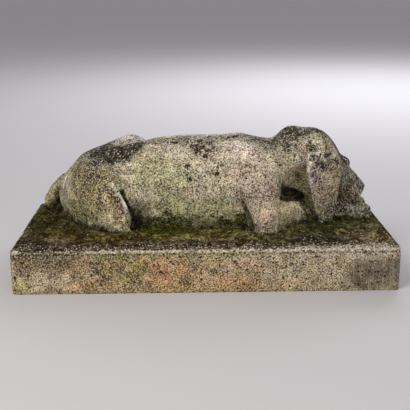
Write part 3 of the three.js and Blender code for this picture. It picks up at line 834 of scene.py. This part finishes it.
# %% How a tone is laid
def tone(mask, factor):
    """The tint times a factor where the mask is 1: tint * (1 + mask * (factor - 1))."""
    global tint
    tint = tint * (1 + np.clip(mask, 0, 1)[:, None] * (np.array(factor) - 1))


def tune(rows, where):
    """Tones from rows of path, reach, raggedness and factor."""
    for path, reach, ragged, factor in rows:
        tone(where * patch(path, reach, ragged), factor)


print("before the tones", mean_tint(on_dog))

# %% Tones on the dog
behind_ear = [(224, 6, 140), (244, 2, 128)]
dog_tones = [
    # path, reach, raggedness, factor
    ([(-272, 60, 172), (-257, 46, 180), (-229, 30, 182), (-202, 20, 190), (-172, 12, 199)], 36, 0.6, 0.33),
    ([(-288, 106, 179), (-270, 108, 186), (-250, 108, 194)], 30, 0.5, 0.35),
    ([(-268, 0, 155), (-240, 8, 163), (-214, 0, 169)], 20, 0.8, 0.6),
    ([(-160, 20, 210), (0, -6, 222), (100, -16, 218)], 50, 0.8, (1.03, 1.03, 1.17)),
    ([(-330, 0, 150), (-300, 0, 150), (-250, 0, 150)], 60, 0.8, 0.75),
    ([(-300, 60, 180), (-220, 40, 195)], 60, 0.8, 0.75),
    ([(310, 10, 210), (350, 20, 196)], 40, 0.8, 0.75),
    # painted light: the hollow behind the ear lightened as if lit
    (behind_ear, 36, 0.8, 1.6),
    # painted light: the forearm, which faces away from the key lamp, lightened as if lit
    ([(176, -94, 38), (217, -48, 40), (245, -14, 38)], 38, 0.7, (1.42, 1.36, 1.29)),
    ([(112, -90, 120), (138, -106, 60), (140, -110, 20)], 60, 0.7, 0.84),
    ([(100, -30, 200), (140, -50, 180)], 60, 0.7, 1.1),
    ([(330, -16, 30), (400, 40, 30), (430, 60, 20)], 50, 0.7, 0.8),
    ([(-409, 180, 60), (-424, 196, 30)], 60, 0.7, 1.45),
    ([(-330, 20, 130), (-300, -10, 120), (-270, -30, 110)], 60, 0.9, (0.88, 0.82, 0.66)),
    ([(-270, -44, 90), (-236, -64, 84), (-230, -70, 60)], 44, 0.9, (0.86, 0.80, 0.64)),
    ([(-330, 0, 60), (-310, -30, 40), (-280, -54, 30)], 44, 0.8, (1.35, 1.33, 1.25)),
    ([(-230, -76, 76), (-212, -86, 50), (-210, -90, 28)], 26, 0.8, (1.4, 1.36, 1.25)),
    ([(371, 50, 163), (374, 36, 155), (362, 29, 156)], 20, 0.7, 0.58),
    ([(370, 29, 143), (378, 41, 127)], 26, 0.7, (0.72, 0.76, 0.80)),
    ([(-300, -20, 112), (-262, -45, 96)], 44, 0.9, (0.93, 0.95, 0.72)),
    (far_hip, 28, 0.7, (1.14, 1.16, 1.28)),
    ([(352, 20, 100), (372, 43, 84), (360, 44, 73)], 26, 0.7, (0.62, 0.57, 0.42)),
    ([(392, 54, 92), (390, 54, 70), (400, 58, 58)], 26, 0.7, (0.80, 0.72, 0.52)),
    ([(411, 66, 83), (421, 74, 74)], 18, 0.7, (1.3, 1.35, 1.5)),
    ([(286, -46, 147), (281, -43, 126), (297, -40, 125)], 34, 0.7, (1.22, 1.16, 1.04)),
    ([(318, -36, 129), (322, -28, 90)], 34, 0.7, (1.04, 1.0, 0.90)),
    ([(112, -90, 120), (138, -106, 60)], 70, 0.7, (1.0, 0.93, 0.91)),
    # painted light: the lower flank, facing down and away from the lamps, lightened
    ([(-120, -60, 40), (0, -72, 44), (70, -80, 44)], 34, 0.8, (1.26, 1.28, 1.24)),
    ([(300, 24, 222), (340, 30, 200), (352, 40, 184)], 34, 0.9, (0.46, 0.48, 0.56)),
    ([(80, -20, 214), (130, -40, 196)], 60, 0.9, (1.15, 1.14, 1.20)),
]
tone(steep(black, 0.3, 0.9) * on_dog, 0.42)
tune(dog_tones, on_dog)
tone(brown_band * on_dog, (0.72, 0.62, 0.48))
beside_band = patch([(-246, -68, 86), (-232, -80, 60), (-224, -88, 36)], 24, 0.7)
tone((1 - brown_band) * beside_band * on_dog, 1.3)
print("dog", mean_tint(on_dog))

# %% Tones on the block
top_tones = [
    # path, reach, raggedness, factor
    ([(-420, 80, 0), (-400, -20, 0), (-370, -60, 0)], 70, 1.0, (0.64, 0.62, 0.34)),
    ([(-160, -80, 0), (0, -90, 0), (120, -100, 0), (300, -80, 0)], 60, 1.0, (0.98, 0.98, 0.78)),
    ([(-60, -120, 0), (60, -130, 0), (120, -140, 0)], 60, 1.2, (1.12, 1.14, 1.16)),
]
side_tones = [
    # path, reach, raggedness, factor
    ([(-440, -232, -14), (-330, -232, -16)], 30, 1.1, (0.68, 0.63, 0.53)),
    ([(-430, -232, -66), (-300, -232, -70)], 46, 1.0, (1.26, 1.24, 1.18)),
    ([(-270, -232, -50)], 70, 1.0, (0.94, 0.89, 0.80)),
    (green_stain, 56, 0.9, (1.02, 0.98, 0.72)),
    (orange_left, 60, 0.9, (1.2, 1.08, 0.92)),
    ([(-300, -232, -98), (0, -232, -100), (200, -232, -100)], 24, 0.9, (1.15, 1.05, 0.90)),
]
tone(on_top, (1.10, 1.09, 1.02))
tune(top_tones, on_top)
tone(on_side, 0.92)
tune(side_tones, 1.0)
print("block's sides", mean_tint(on_side), "top", mean_tint(on_top))

# %% [markdown]
# ## Painted shade
# The deepest corners see almost no sky, so their shade is painted near black into the tint. They
# are named one by one, and one rule paints a contact shadow where the dog meets the block. The
# forearm is the exception: it slopes gently to the block and gets little painted shade.

# %% Painted deep shade
# painted shade: the pocket under the neck, near black
pocket_shade = layered(
    patch([(195, -46, 104), (203, -24, 92), (211, -6, 86)], 24, 0.25, 0.9),
    patch([(203, -26, 88), (217, 2, 80), (236, 15, 72), (248, 18, 66)], 16, 0.2, 0.35),
    patch([(194, -52, 77), (208, -29, 69), (226, -10, 64), (242, 4, 60)], 9, 0.1, 0.3),
)
shade_places = [
    # strength, path, reach, raggedness
    (1.0, beside_lip, 10, 0.2),
    (0.75, [(254, 10, 60), (264, 8, 40), (278, 6, 20)], 13, 0.6),
    (1.0, [(93, -85, 77), (99, -82, 62)], 4, 0.3),
    (1.0, [(100, -82, 58), (108, -80, 39), (118, -80, 12)], 7, 0.3),
    (1.0, [(-380, 130, 70), (-396, 150, 34), (-402, 160, 8)], 24, 0.6),
    (0.85, [(-404, 150, 0), (-420, 168, 0), (-392, 120, 0)], 26, 0.8),
]
on_forearm = patch([(146, -112, 4), (188, -92, 4), (225, -68, 4), (250, -48, 4)], 26, 0.6)
# painted contact shadow where the dog meets the block
contact_shadow = crease * np.exp(-(((height - 0.003) / 0.007) ** 2)) * steep(to_edge, 0.012, 0.03)
shade = layered(
    pocket_shade,
    0.85 * contact_shadow * (1 - 0.7 * on_forearm),
    union(shade_places),
    patch([(-188, -63, 52), (-181, -52, 38)], 15, 0.2, 0.7),
    patch([(-178, -44, 26), (-168, -30, 8)], 25, 0.3, 0.7),
    0.9 * patch([(-156, -28, 4)], 20, 0.4, 0.9),
)
wash(spots * on_dog, (0.048, 0.034, 0.020), 0.8)
wash(spots * on_side, (0.075, 0.055, 0.025), 0.85)
# painted shade: the pocket, the undercut by the thigh, the fold behind the elbow, the tail's gap and the
# contact line washed near black
wash(shade, (0.010, 0.0098, 0.0042), 0.95)
moss = moss * (1 - 0.5 * shade * (1 - fresh_moss))
moss = np.maximum(moss, fresh_moss)
print("shade share", shade.mean().round(3))

# %% Painted shade in the hollows, and a painted highlight on the thigh's lip
HOLLOW_SHADE = (0.016, 0.015, 0.007)
HOLLOW_SHADE_STRENGTH = 0.72
seam = patch([(190, -60, 68), (190, -74, 46), (188, -84, 30), (184, -94, 8)], 13, 0.3)
# where the forearm and the seam get little painted shade
unshaded_arm = layered(
    seam,
    patch([(150, -108, 26), (188, -84, 36), (217, -48, 38), (245, -14, 36)], 34, 0.5),
    patch([(146, -112, 6), (188, -92, 6), (225, -68, 6), (250, -48, 6)], 26, 0.6),
)
# painted shade: hollows and creases darkened towards near black, less behind the ear and on the forearm
in_hollow = 0.85 * hollow * on_dog * (1 - 0.8 * patch(behind_ear, 34, 0.9))
hollow_shade = layered(in_hollow, 0.55 * crease) * (1 - 0.8 * unshaded_arm)
wash(hollow_shade, HOLLOW_SHADE, HOLLOW_SHADE_STRENGTH)
# painted light: the shaded seam between arm and forearm lightened
tone(seam * on_dog, 1.2)
# painted highlight: a thin pale line along the thigh's lip, where it would catch the light
lip_highlight = np.exp(-((away_from(thigh_lip) / 0.0040) ** 2)) * steep(height, 0.025, 0.05) * on_dog
wash(lip_highlight, (0.74, 0.69, 0.54), 0.95)
print("tint mean", tint.mean(0).round(3), "dirt share", hollow_shade.mean().round(3))

# %% [markdown]
# ## Relief into the mesh
# Moss is a cushion: it hides the pits under it and stands proud by a few millimetres. The whole
# relief then moves each vertex along its normal, fades out at the ground, and stays inside the
# part's own box.

# %% Moss stands proud, and the relief goes into the mesh
MOSS_HEIGHT = 0.0042
GROUND_FADE = 0.006
cushions = 0.45 + 0.55 * rough(places, 0.012, 61)
moss_rise = steep(moss, 0.45, 0.95) * np.clip(cushions, 0, 1.2) * MOSS_HEIGHT
relief = relief * (1 - 0.6 * steep(moss, 0.5, 1)) + moss_rise
fade = steep(places[:, 2], 0.0, GROUND_FADE)
places = places + form_normals * (relief * fade)[:, None]
places = np.clip(places, np.array(cad_low), np.array(cad_high))
places[rim_flags, 2] = 0
put_places(even, places)
print("worn box", places.min(0), places.max(0))


# %% [markdown]
# The masks travel with the mesh as colour attributes, one value for each vertex. They could be
# node groups of many ellipsoids, but an attribute is quicker, and it can't slide on the piece.
# Beside the growth, whose pale mask also carries the painted edge highlight, there are four more:
# bare stone, sand grains that stand proud, streaks, which also carry the painted highlight on the
# thigh's lip, and frost, which is the pale speckle on the plinth's top. Rugged places vary most in light.

# %% Work out the last masks
clusters = clouds(0.045, 71, -0.25, 0.40)
near_front = steep(-places[:, 1], 0.170, 0.208)
near_right = steep(places[:, 0], 0.20, 0.40) * steep(-places[:, 1], 0.02, 0.14)
less_left = 0.25 + 0.75 * steep(along, -0.34, -0.10)
frosted = on_top * (less_left * (0.02 + clusters * (0.06 + 0.1925 * near_right)) + 0.90 * near_front)

# where shade is painted, grit and bare stone are held back
all_painted_shade = np.clip(hollow_shade + shade, 0, 1)
gritty = 0.16 * (1 - on_top) + 0.30 * black * (1 - on_top)
haunch_and_ear = [(-300, -20, 110), (-250, -50, 70), (300, -44, 160), (320, -34, 80)]
gritty += 0.24 * patch(haunch_and_ear, 90, 1.0) * on_dog
gritty *= 1 - np.clip(all_painted_shade + white_chip, 0, 1)
bare = (1 - on_top) * (1 - all_painted_shade)
# the streak mask also carries the painted highlight on the thigh's lip
streaks_and_lip_highlight = layered(patch(grey_end, 50, 0.7), lip_highlight)

rugged_places = [
    # strength, path, reach, raggedness
    (1.0, [(-330, 10, 130), (-300, -20, 100), (-260, -50, 80), (-230, -70, 50)], 70, 0.8),
    (1.0, [(290, -46, 180), (290, -46, 140), (310, -36, 110), (330, -26, 60)], 60, 0.8),
    (1.0, [(340, 10, 30), (372, 44, 70), (410, 60, 80), (372, 40, 150)], 60, 0.8),
    (0.7, [(-260, 50, 180), (-200, 30, 190)], 60, 0.8),
    (0.6, [(180, 0, 206), (240, 10, 236)], 50, 0.8),
]
rugged = np.maximum(union(rugged_places), 0.30) * on_dog + 0.3 * on_side + on_top
print("gritty share", gritty.mean().round(3), "frosted share", frosted.mean().round(3))


# %% Store the masks on the mesh
def store(name, *columns):
    """A colour attribute whose channels are up to three masks."""
    layer = even.color_attributes.new(name, "FLOAT_COLOR", "POINT")
    values = np.ones((len(places), 4), np.float32)
    values[:, : len(columns)] = np.stack(columns, 1)
    layer.data.foreach_set("color", np.clip(values, 0, 1).ravel())


store("tint", *tint.T)
store("growth_and_highlight", black, pale_and_highlight, moss)
store("wear_and_highlight", bare, gritty, streaks_and_lip_highlight)
store("frost", frosted * (1 - moss), rugged * (1 - all_painted_shade))
print("masks", [layer.name for layer in even.color_attributes])

# %% [markdown]
# The rim at the ground is closed with one flat face, as the solid's underside is, so the piece
# is a closed body again. Only that face is shaded flat.

# %% Close the underside
closed = bmesh.new()
closed.from_mesh(even)
rim_edges = [e for e in closed.edges if e.is_boundary]
filled = bmesh.ops.holes_fill(closed, edges=rim_edges, sides=0)
for face in filled["faces"]:
    face.normal_update()
    if face.normal.z > 0:
        face.normal_flip()
bmesh.ops.triangulate(closed, faces=filled["faces"])
for face in closed.faces:
    face.smooth = face.normal.z > -0.9 or face.calc_center_median().z > RIM
open_left = sum(1 for e in closed.edges if not e.is_manifold)
closed.to_mesh(even)
closed.free()
triangles = sum(len(face.vertices) - 2 for face in even.polygons)
print("triangles", triangles, "open or doubled edges", open_left)


# %% [markdown]
# ## Shared effects as node groups
# Two effects are used over and over: round specks, such as pits and spots of lichen, and
# ragged patches, such as crusts and moss. Each is a node group with named inputs that puts out
# a mask, so every use has its own size and amount.

# %% Helpers that build nodes
def add(tree, kind, inputs=(), **settings):
    """A node with its settings, and its inputs given as numbers, colours or sockets."""
    made = tree.nodes.new(kind)
    for name, value in settings.items():
        setattr(made, name, value)
    for name, value in dict(inputs).items():
        if isinstance(value, bpy.types.NodeSocket):
            tree.links.new(value, made.inputs[name])
        else:
            made.inputs[name].default_value = value
    return made


def arith(tree, operation, *values):
    """A sum on numbers or sockets."""
    return add(tree, "ShaderNodeMath", enumerate(values), operation=operation).outputs[0]


def ramp(tree, value, low, high, bottom=0.0, top=1.0):
    """Smooth step from bottom to top as value runs from low to high."""
    ends_at = {"Value": value, "From Min": low, "From Max": high, "To Min": bottom, "To Max": top}
    return add(tree, "ShaderNodeMapRange", ends_at, interpolation_type="SMOOTHSTEP").outputs["Result"]


def mix(tree, share, under_it, over_it, how="MIX"):
    """One colour laid over another."""
    made = add(tree, "ShaderNodeMix", {0: share, 6: under_it, 7: over_it}, data_type="RGBA", blend_type=how)
    return made.outputs[2]


def group_of(name, inputs, outputs):
    """An empty node group with named sockets, and its input and output nodes."""
    tree = bpy.data.node_groups.new(name, "ShaderNodeTree")
    for label, kind, value in inputs:
        socket = tree.interface.new_socket(label, in_out="INPUT", socket_type=kind)
        if value is not None:
            socket.default_value = value
    for label, kind in outputs:
        tree.interface.new_socket(label, in_out="OUTPUT", socket_type=kind)
    return tree, tree.nodes.new("NodeGroupInput").outputs, tree.nodes.new("NodeGroupOutput")


print("node groups so far", len(bpy.data.node_groups))

# %% Group: specks
specks, given, result = group_of(
    "specks",
    [
        ("Place", "NodeSocketVector", None),
        ("Per Metre", "NodeSocketFloat", 150.0),
        ("Size", "NodeSocketFloat", 0.4),
        ("Amount", "NodeSocketFloat", 0.5),
    ],
    [("Mask", "NodeSocketFloat")],
)
warp_scale = arith(specks, "MULTIPLY", given["Per Metre"], 1.7)
bend = add(specks, "ShaderNodeTexNoise", {"Vector": given["Place"], "Scale": warp_scale})
from_middle = {0: bend.outputs["Color"], 1: (0.5, 0.5, 0.5)}
shove = add(specks, "ShaderNodeVectorMath", from_middle, operation="SUBTRACT")
shove_size = {0: shove.outputs[0], "Scale": arith(specks, "DIVIDE", 0.75, given["Per Metre"])}
scaled_shove = add(specks, "ShaderNodeVectorMath", shove_size, operation="SCALE")
bent = add(specks, "ShaderNodeVectorMath", {0: given["Place"], 1: scaled_shove.outputs[0]}, operation="ADD")
cells = add(specks, "ShaderNodeTexVoronoi", {"Vector": bent.outputs[0], "Scale": given["Per Metre"]})
lots = add(specks, "ShaderNodeSeparateColor", {0: cells.outputs["Color"]})
radius = arith(specks, "MULTIPLY", given["Size"], ramp(specks, lots.outputs[1], 0.0, 1.0, 0.45, 1.0))
inside = arith(specks, "SUBTRACT", radius, cells.outputs["Distance"])
disc = ramp(specks, inside, 0.0, 0.14)
chosen = ramp(specks, arith(specks, "SUBTRACT", given["Amount"], lots.outputs[0]), -0.02, 0.02)
specks.links.new(arith(specks, "MULTIPLY", disc, chosen), result.inputs["Mask"])
print("specks nodes", len(specks.nodes))

# %% Group: ragged patches
ragged, given, result = group_of(
    "ragged",
    [
        ("Place", "NodeSocketVector", None),
        ("Per Metre", "NodeSocketFloat", 90.0),
        ("Softness", "NodeSocketFloat", 0.06),
        ("Amount", "NodeSocketFloat", 0.5),
    ],
    [("Mask", "NodeSocketFloat")],
)
cloud = add(
    ragged,
    "ShaderNodeTexNoise",
    {
        "Vector": given["Place"],
        "Scale": given["Per Metre"],
        "Detail": 4.0,
        "Roughness": 0.8,
        "Distortion": 0.15,
    },
)
level_at = {"Value": given["Amount"], "To Min": 0.72, "To Max": 0.42}
level = add(ragged, "ShaderNodeMapRange", level_at).outputs["Result"]
over = arith(ragged, "SUBTRACT", cloud.outputs["Fac"], level)
share = ramp(ragged, over, arith(ragged, "MULTIPLY", given["Softness"], -1.0), given["Softness"])
there = ramp(ragged, given["Amount"], 0.0, 0.06)
ragged.links.new(arith(ragged, "MULTIPLY", share, there), result.inputs["Mask"])


def use(tree, group, **values):
    """The mask of a group placed in a tree; its inputs are named with _ for a space."""
    made = tree.nodes.new("ShaderNodeGroup")
    made.node_tree = group
    for name, value in values.items():
        socket = made.inputs[name.replace("_", " ")]
        if isinstance(value, bpy.types.NodeSocket):
            tree.links.new(value, socket)
        else:
            socket.default_value = value
    return made.outputs["Mask"]


print("groups", [g.name for g in bpy.data.node_groups])

# %% [markdown]
# ## The stone
# Composition stone is sand and crushed rock held by cement. From a step away it is a wash of
# colour broken up by pale grains, dark grains and black pits, then by what grows on it. The
# material lays those down in that order. The same masks drive colour, gloss and bump, so a
# pit is painted black, as the shade inside it, where its bump is deep.

# %% Stone material: its tree and small helpers
stone = bpy.data.materials.new("weathered_stone")
stone.use_nodes = True
tree = stone.node_tree
shader = tree.nodes["Principled BSDF"]
place = add(tree, "ShaderNodeTexCoord").outputs["Object"]
flat_place = add(tree, "ShaderNodeMapping", {"Vector": place, "Scale": (1.0, 0.5, 1.0)}).outputs[0]


def carried(name):
    """The colour of an attribute that the mesh carries."""
    return add(tree, "ShaderNodeAttribute", attribute_name=name, attribute_type="GEOMETRY").outputs["Color"]


def channels(name):
    """The three masks that one attribute carries."""
    return tuple(add(tree, "ShaderNodeSeparateColor", {0: carried(name)}).outputs)


def grain_of(at, scale, detail, roughness=0.5):
    """The value of a noise texture."""
    inputs = {"Vector": at, "Scale": scale, "Detail": detail, "Roughness": roughness}
    return add(tree, "ShaderNodeTexNoise", inputs).outputs["Fac"]


def product(one, other):
    """One value times another."""
    return arith(tree, "MULTIPLY", one, other)


def dyed(under_it, factor):
    """A colour times another."""
    return mix(tree, 1.0, under_it, factor, "MULTIPLY")


print("mesh carries", [layer.name for layer in even.color_attributes])


# %% Stone material: washes and mottling
black_share, pale_and_highlight_share, moss_share = channels("growth_and_highlight")
bare_share, grit_share, streak_and_highlight_share = channels("wear_and_highlight")
frost_share, rugged_share, _ = channels("frost")
colour = carried("tint")

mottle = grain_of(place, 42.0, 5.0, 0.68)
colour = dyed(colour, ramp(tree, mottle, 0.3, 0.7, 0.52, 1.36))
soil = grain_of(flat_place, 75.0, 4.0, 0.75)
not_bare = arith(tree, "SUBTRACT", 1.0, bare_share)
colour = mix(tree, not_bare, colour, dyed(colour, ramp(tree, soil, 0.34, 0.68, 0.22, 2.5)))
hue = add(tree, "ShaderNodeTexNoise", {"Vector": place, "Scale": 65.0, "Detail": 3.0}).outputs["Color"]
colour = mix(tree, 0.35, colour, hue, "SOFT_LIGHT")

blotch = grain_of(flat_place, 33.0, 3.0, 0.6)
stained = product(ramp(tree, blotch, 0.50, 0.42), rugged_share)
colour = mix(tree, stained, colour, dyed(colour, (0.40, 0.33, 0.20, 1)))
scoured = product(ramp(tree, blotch, 0.51, 0.57), rugged_share)
colour = mix(tree, scoured, colour, dyed(colour, (1.36, 1.40, 1.50, 1)))
print("stone nodes", len(tree.nodes))

# %% [markdown]
# The sand's grains are a little under two millimetres. Pale ones and dark ones come from the
# two ends of one noise, so they never overlap. Where rain runs down the plinth's end, and along
# the painted highlight on the thigh's lip, they are calmer, and long thin streaks lie over them.

# %% Stone material: grains and streaks
grain = grain_of(place, 275.0, 1.0, 0.8)
pale_grain = ramp(tree, grain, 0.515, 0.60)
dark_grain = ramp(tree, grain, 0.485, 0.40)
lighter = dyed(colour, (1.45, 1.47, 1.52, 1))
lighter = mix(tree, product(bare_share, 0.35), lighter, (0.64, 0.60, 0.49, 1))
lighter = mix(tree, product(rugged_share, product(bare_share, 0.12)), lighter, (0.70, 0.65, 0.53, 1))
darker = dyed(colour, (0.34, 0.31, 0.25, 1))
darker = mix(tree, product(bare_share, 0.3), darker, (0.105, 0.070, 0.034, 1))
darker = mix(tree, product(rugged_share, 0.2), darker, (0.030, 0.023, 0.012, 1))
calm = ramp(tree, streak_and_highlight_share, 0.0, 1.0, 1.0, 0.4)
colour = mix(tree, product(pale_grain, calm), colour, lighter)
colour = mix(tree, product(dark_grain, calm), colour, darker)

stretched = add(tree, "ShaderNodeMapping", {"Vector": place, "Scale": (230.0, 230.0, 14.0)}).outputs[0]
streaks = ramp(tree, grain_of(stretched, 1.0, 2.0), 0.55, 0.72, 0.0, 0.6)
colour = mix(tree, product(streaks, streak_and_highlight_share), colour, (0.42, 0.37, 0.29, 1))
print("stone nodes", len(tree.nodes))

# %% [markdown]
# Growth lies over the grain. Black lichen is round spots and ragged crusts together. Pale
# lichen is a chalky crust, and the same mask paints a highlight on the dog's edges. Moss is soft,
# green on its cushions, and painted dark with shade between them.

# %% Stone material: lichen and moss
black_spots = use(tree, specks, Place=place, Per_Metre=84.0, Size=0.46, Amount=black_share)
black_amount = product(black_share, 0.8)
black_crust = use(tree, ragged, Place=place, Per_Metre=140.0, Softness=0.03, Amount=black_amount)
black_crust = arith(tree, "MAXIMUM", black_spots, black_crust)
pale_crust_and_highlight = use(tree, ragged, Place=place, Per_Metre=150.0, Softness=0.03, Amount=pale_and_highlight_share)
colour = mix(tree, product(black_crust, 0.92), colour, (0.021, 0.0155, 0.0085, 1))
crust_and_highlight_colour = mix(tree, pale_grain, (0.36, 0.325, 0.24, 1), (0.68, 0.64, 0.54, 1))
colour = mix(tree, product(pale_crust_and_highlight, 0.85), colour, crust_and_highlight_colour)

moss_cover = use(tree, ragged, Place=place, Per_Metre=85.0, Softness=0.08, Amount=moss_share)
moss_shade = grain_of(place, 190.0, 2.0)
# painted shade with the moss's own dark: near black where the moss bump is low
moss_dark_and_shade = (0.0025, 0.0036, 0.0004, 1)
moss_green = (0.098, 0.126, 0.012, 1)
moss_colour = mix(tree, ramp(tree, moss_shade, 0.43, 0.68), moss_dark_and_shade, moss_green)
colour = mix(tree, product(moss_cover, 0.92), colour, moss_colour)
print("stone nodes", len(tree.nodes))

# %% [markdown]
# Last come the single grains: bare sand that the rain has washed out, the frost of pale specks
# along the plinth's front, and the pits, painted black as the shade inside them.

# %% Stone material: bare grains, frost and pits
pale_grit = use(tree, specks, Place=place, Per_Metre=190.0, Size=0.46, Amount=grit_share)
grit_shade = mix(tree, black_share, (0.56, 0.51, 0.40, 1), (0.62, 0.585, 0.56, 1))
colour = mix(tree, product(pale_grit, 0.8), colour, grit_shade)
frost_cover = use(tree, specks, Place=flat_place, Per_Metre=215.0, Size=0.50, Amount=frost_share)
colour = mix(tree, product(frost_cover, 0.85), colour, (0.56, 0.49, 0.37, 1))
fine_pits = use(tree, specks, Place=place, Per_Metre=128.0, Size=0.41, Amount=0.34)
broad_pits = use(tree, specks, Place=place, Per_Metre=62.0, Size=0.27, Amount=0.34)
all_pits = arith(tree, "MAXIMUM", fine_pits, broad_pits)
# painted shade: the pits near black, as the shade inside them
colour = mix(tree, product(all_pits, 0.93), colour, (0.014, 0.011, 0.007, 1))
tree.links.new(colour, shader.inputs["Base Color"])
print("stone nodes", len(tree.nodes))

# %% [markdown]
# Weathered stone is dull all over, so it has no sheen at all and hardly varies in roughness.
# What is too fine for the mesh, grains and small pits, is bump. It reads the same masks.

# %% Stone material: gloss and bump
tree.links.new(ramp(tree, grain, 0.3, 0.7, 0.82, 0.97), shader.inputs["Roughness"])
shader.inputs["Specular IOR Level"].default_value = 0.0
depth = arith(tree, "SUBTRACT", product(grain, 0.55), product(all_pits, 0.9))
depth = arith(tree, "ADD", depth, product(product(moss_cover, moss_shade), 1.1))
crusts = arith(tree, "ADD", pale_crust_and_highlight, black_crust)
depth = arith(tree, "ADD", depth, product(crusts, 0.16))
bump = add(tree, "ShaderNodeBump", {"Strength": 0.75, "Distance": 0.0016, "Height": depth})
tree.links.new(bump.outputs["Normal"], shader.inputs["Normal"])
even.materials.clear()
even.materials.append(stone)
print("stone nodes", len(tree.nodes))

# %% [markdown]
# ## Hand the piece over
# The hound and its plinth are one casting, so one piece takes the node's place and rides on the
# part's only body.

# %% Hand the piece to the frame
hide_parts(NODE)
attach(hound, "root")
print("piece", hound.name, "takes the place of", NODE)
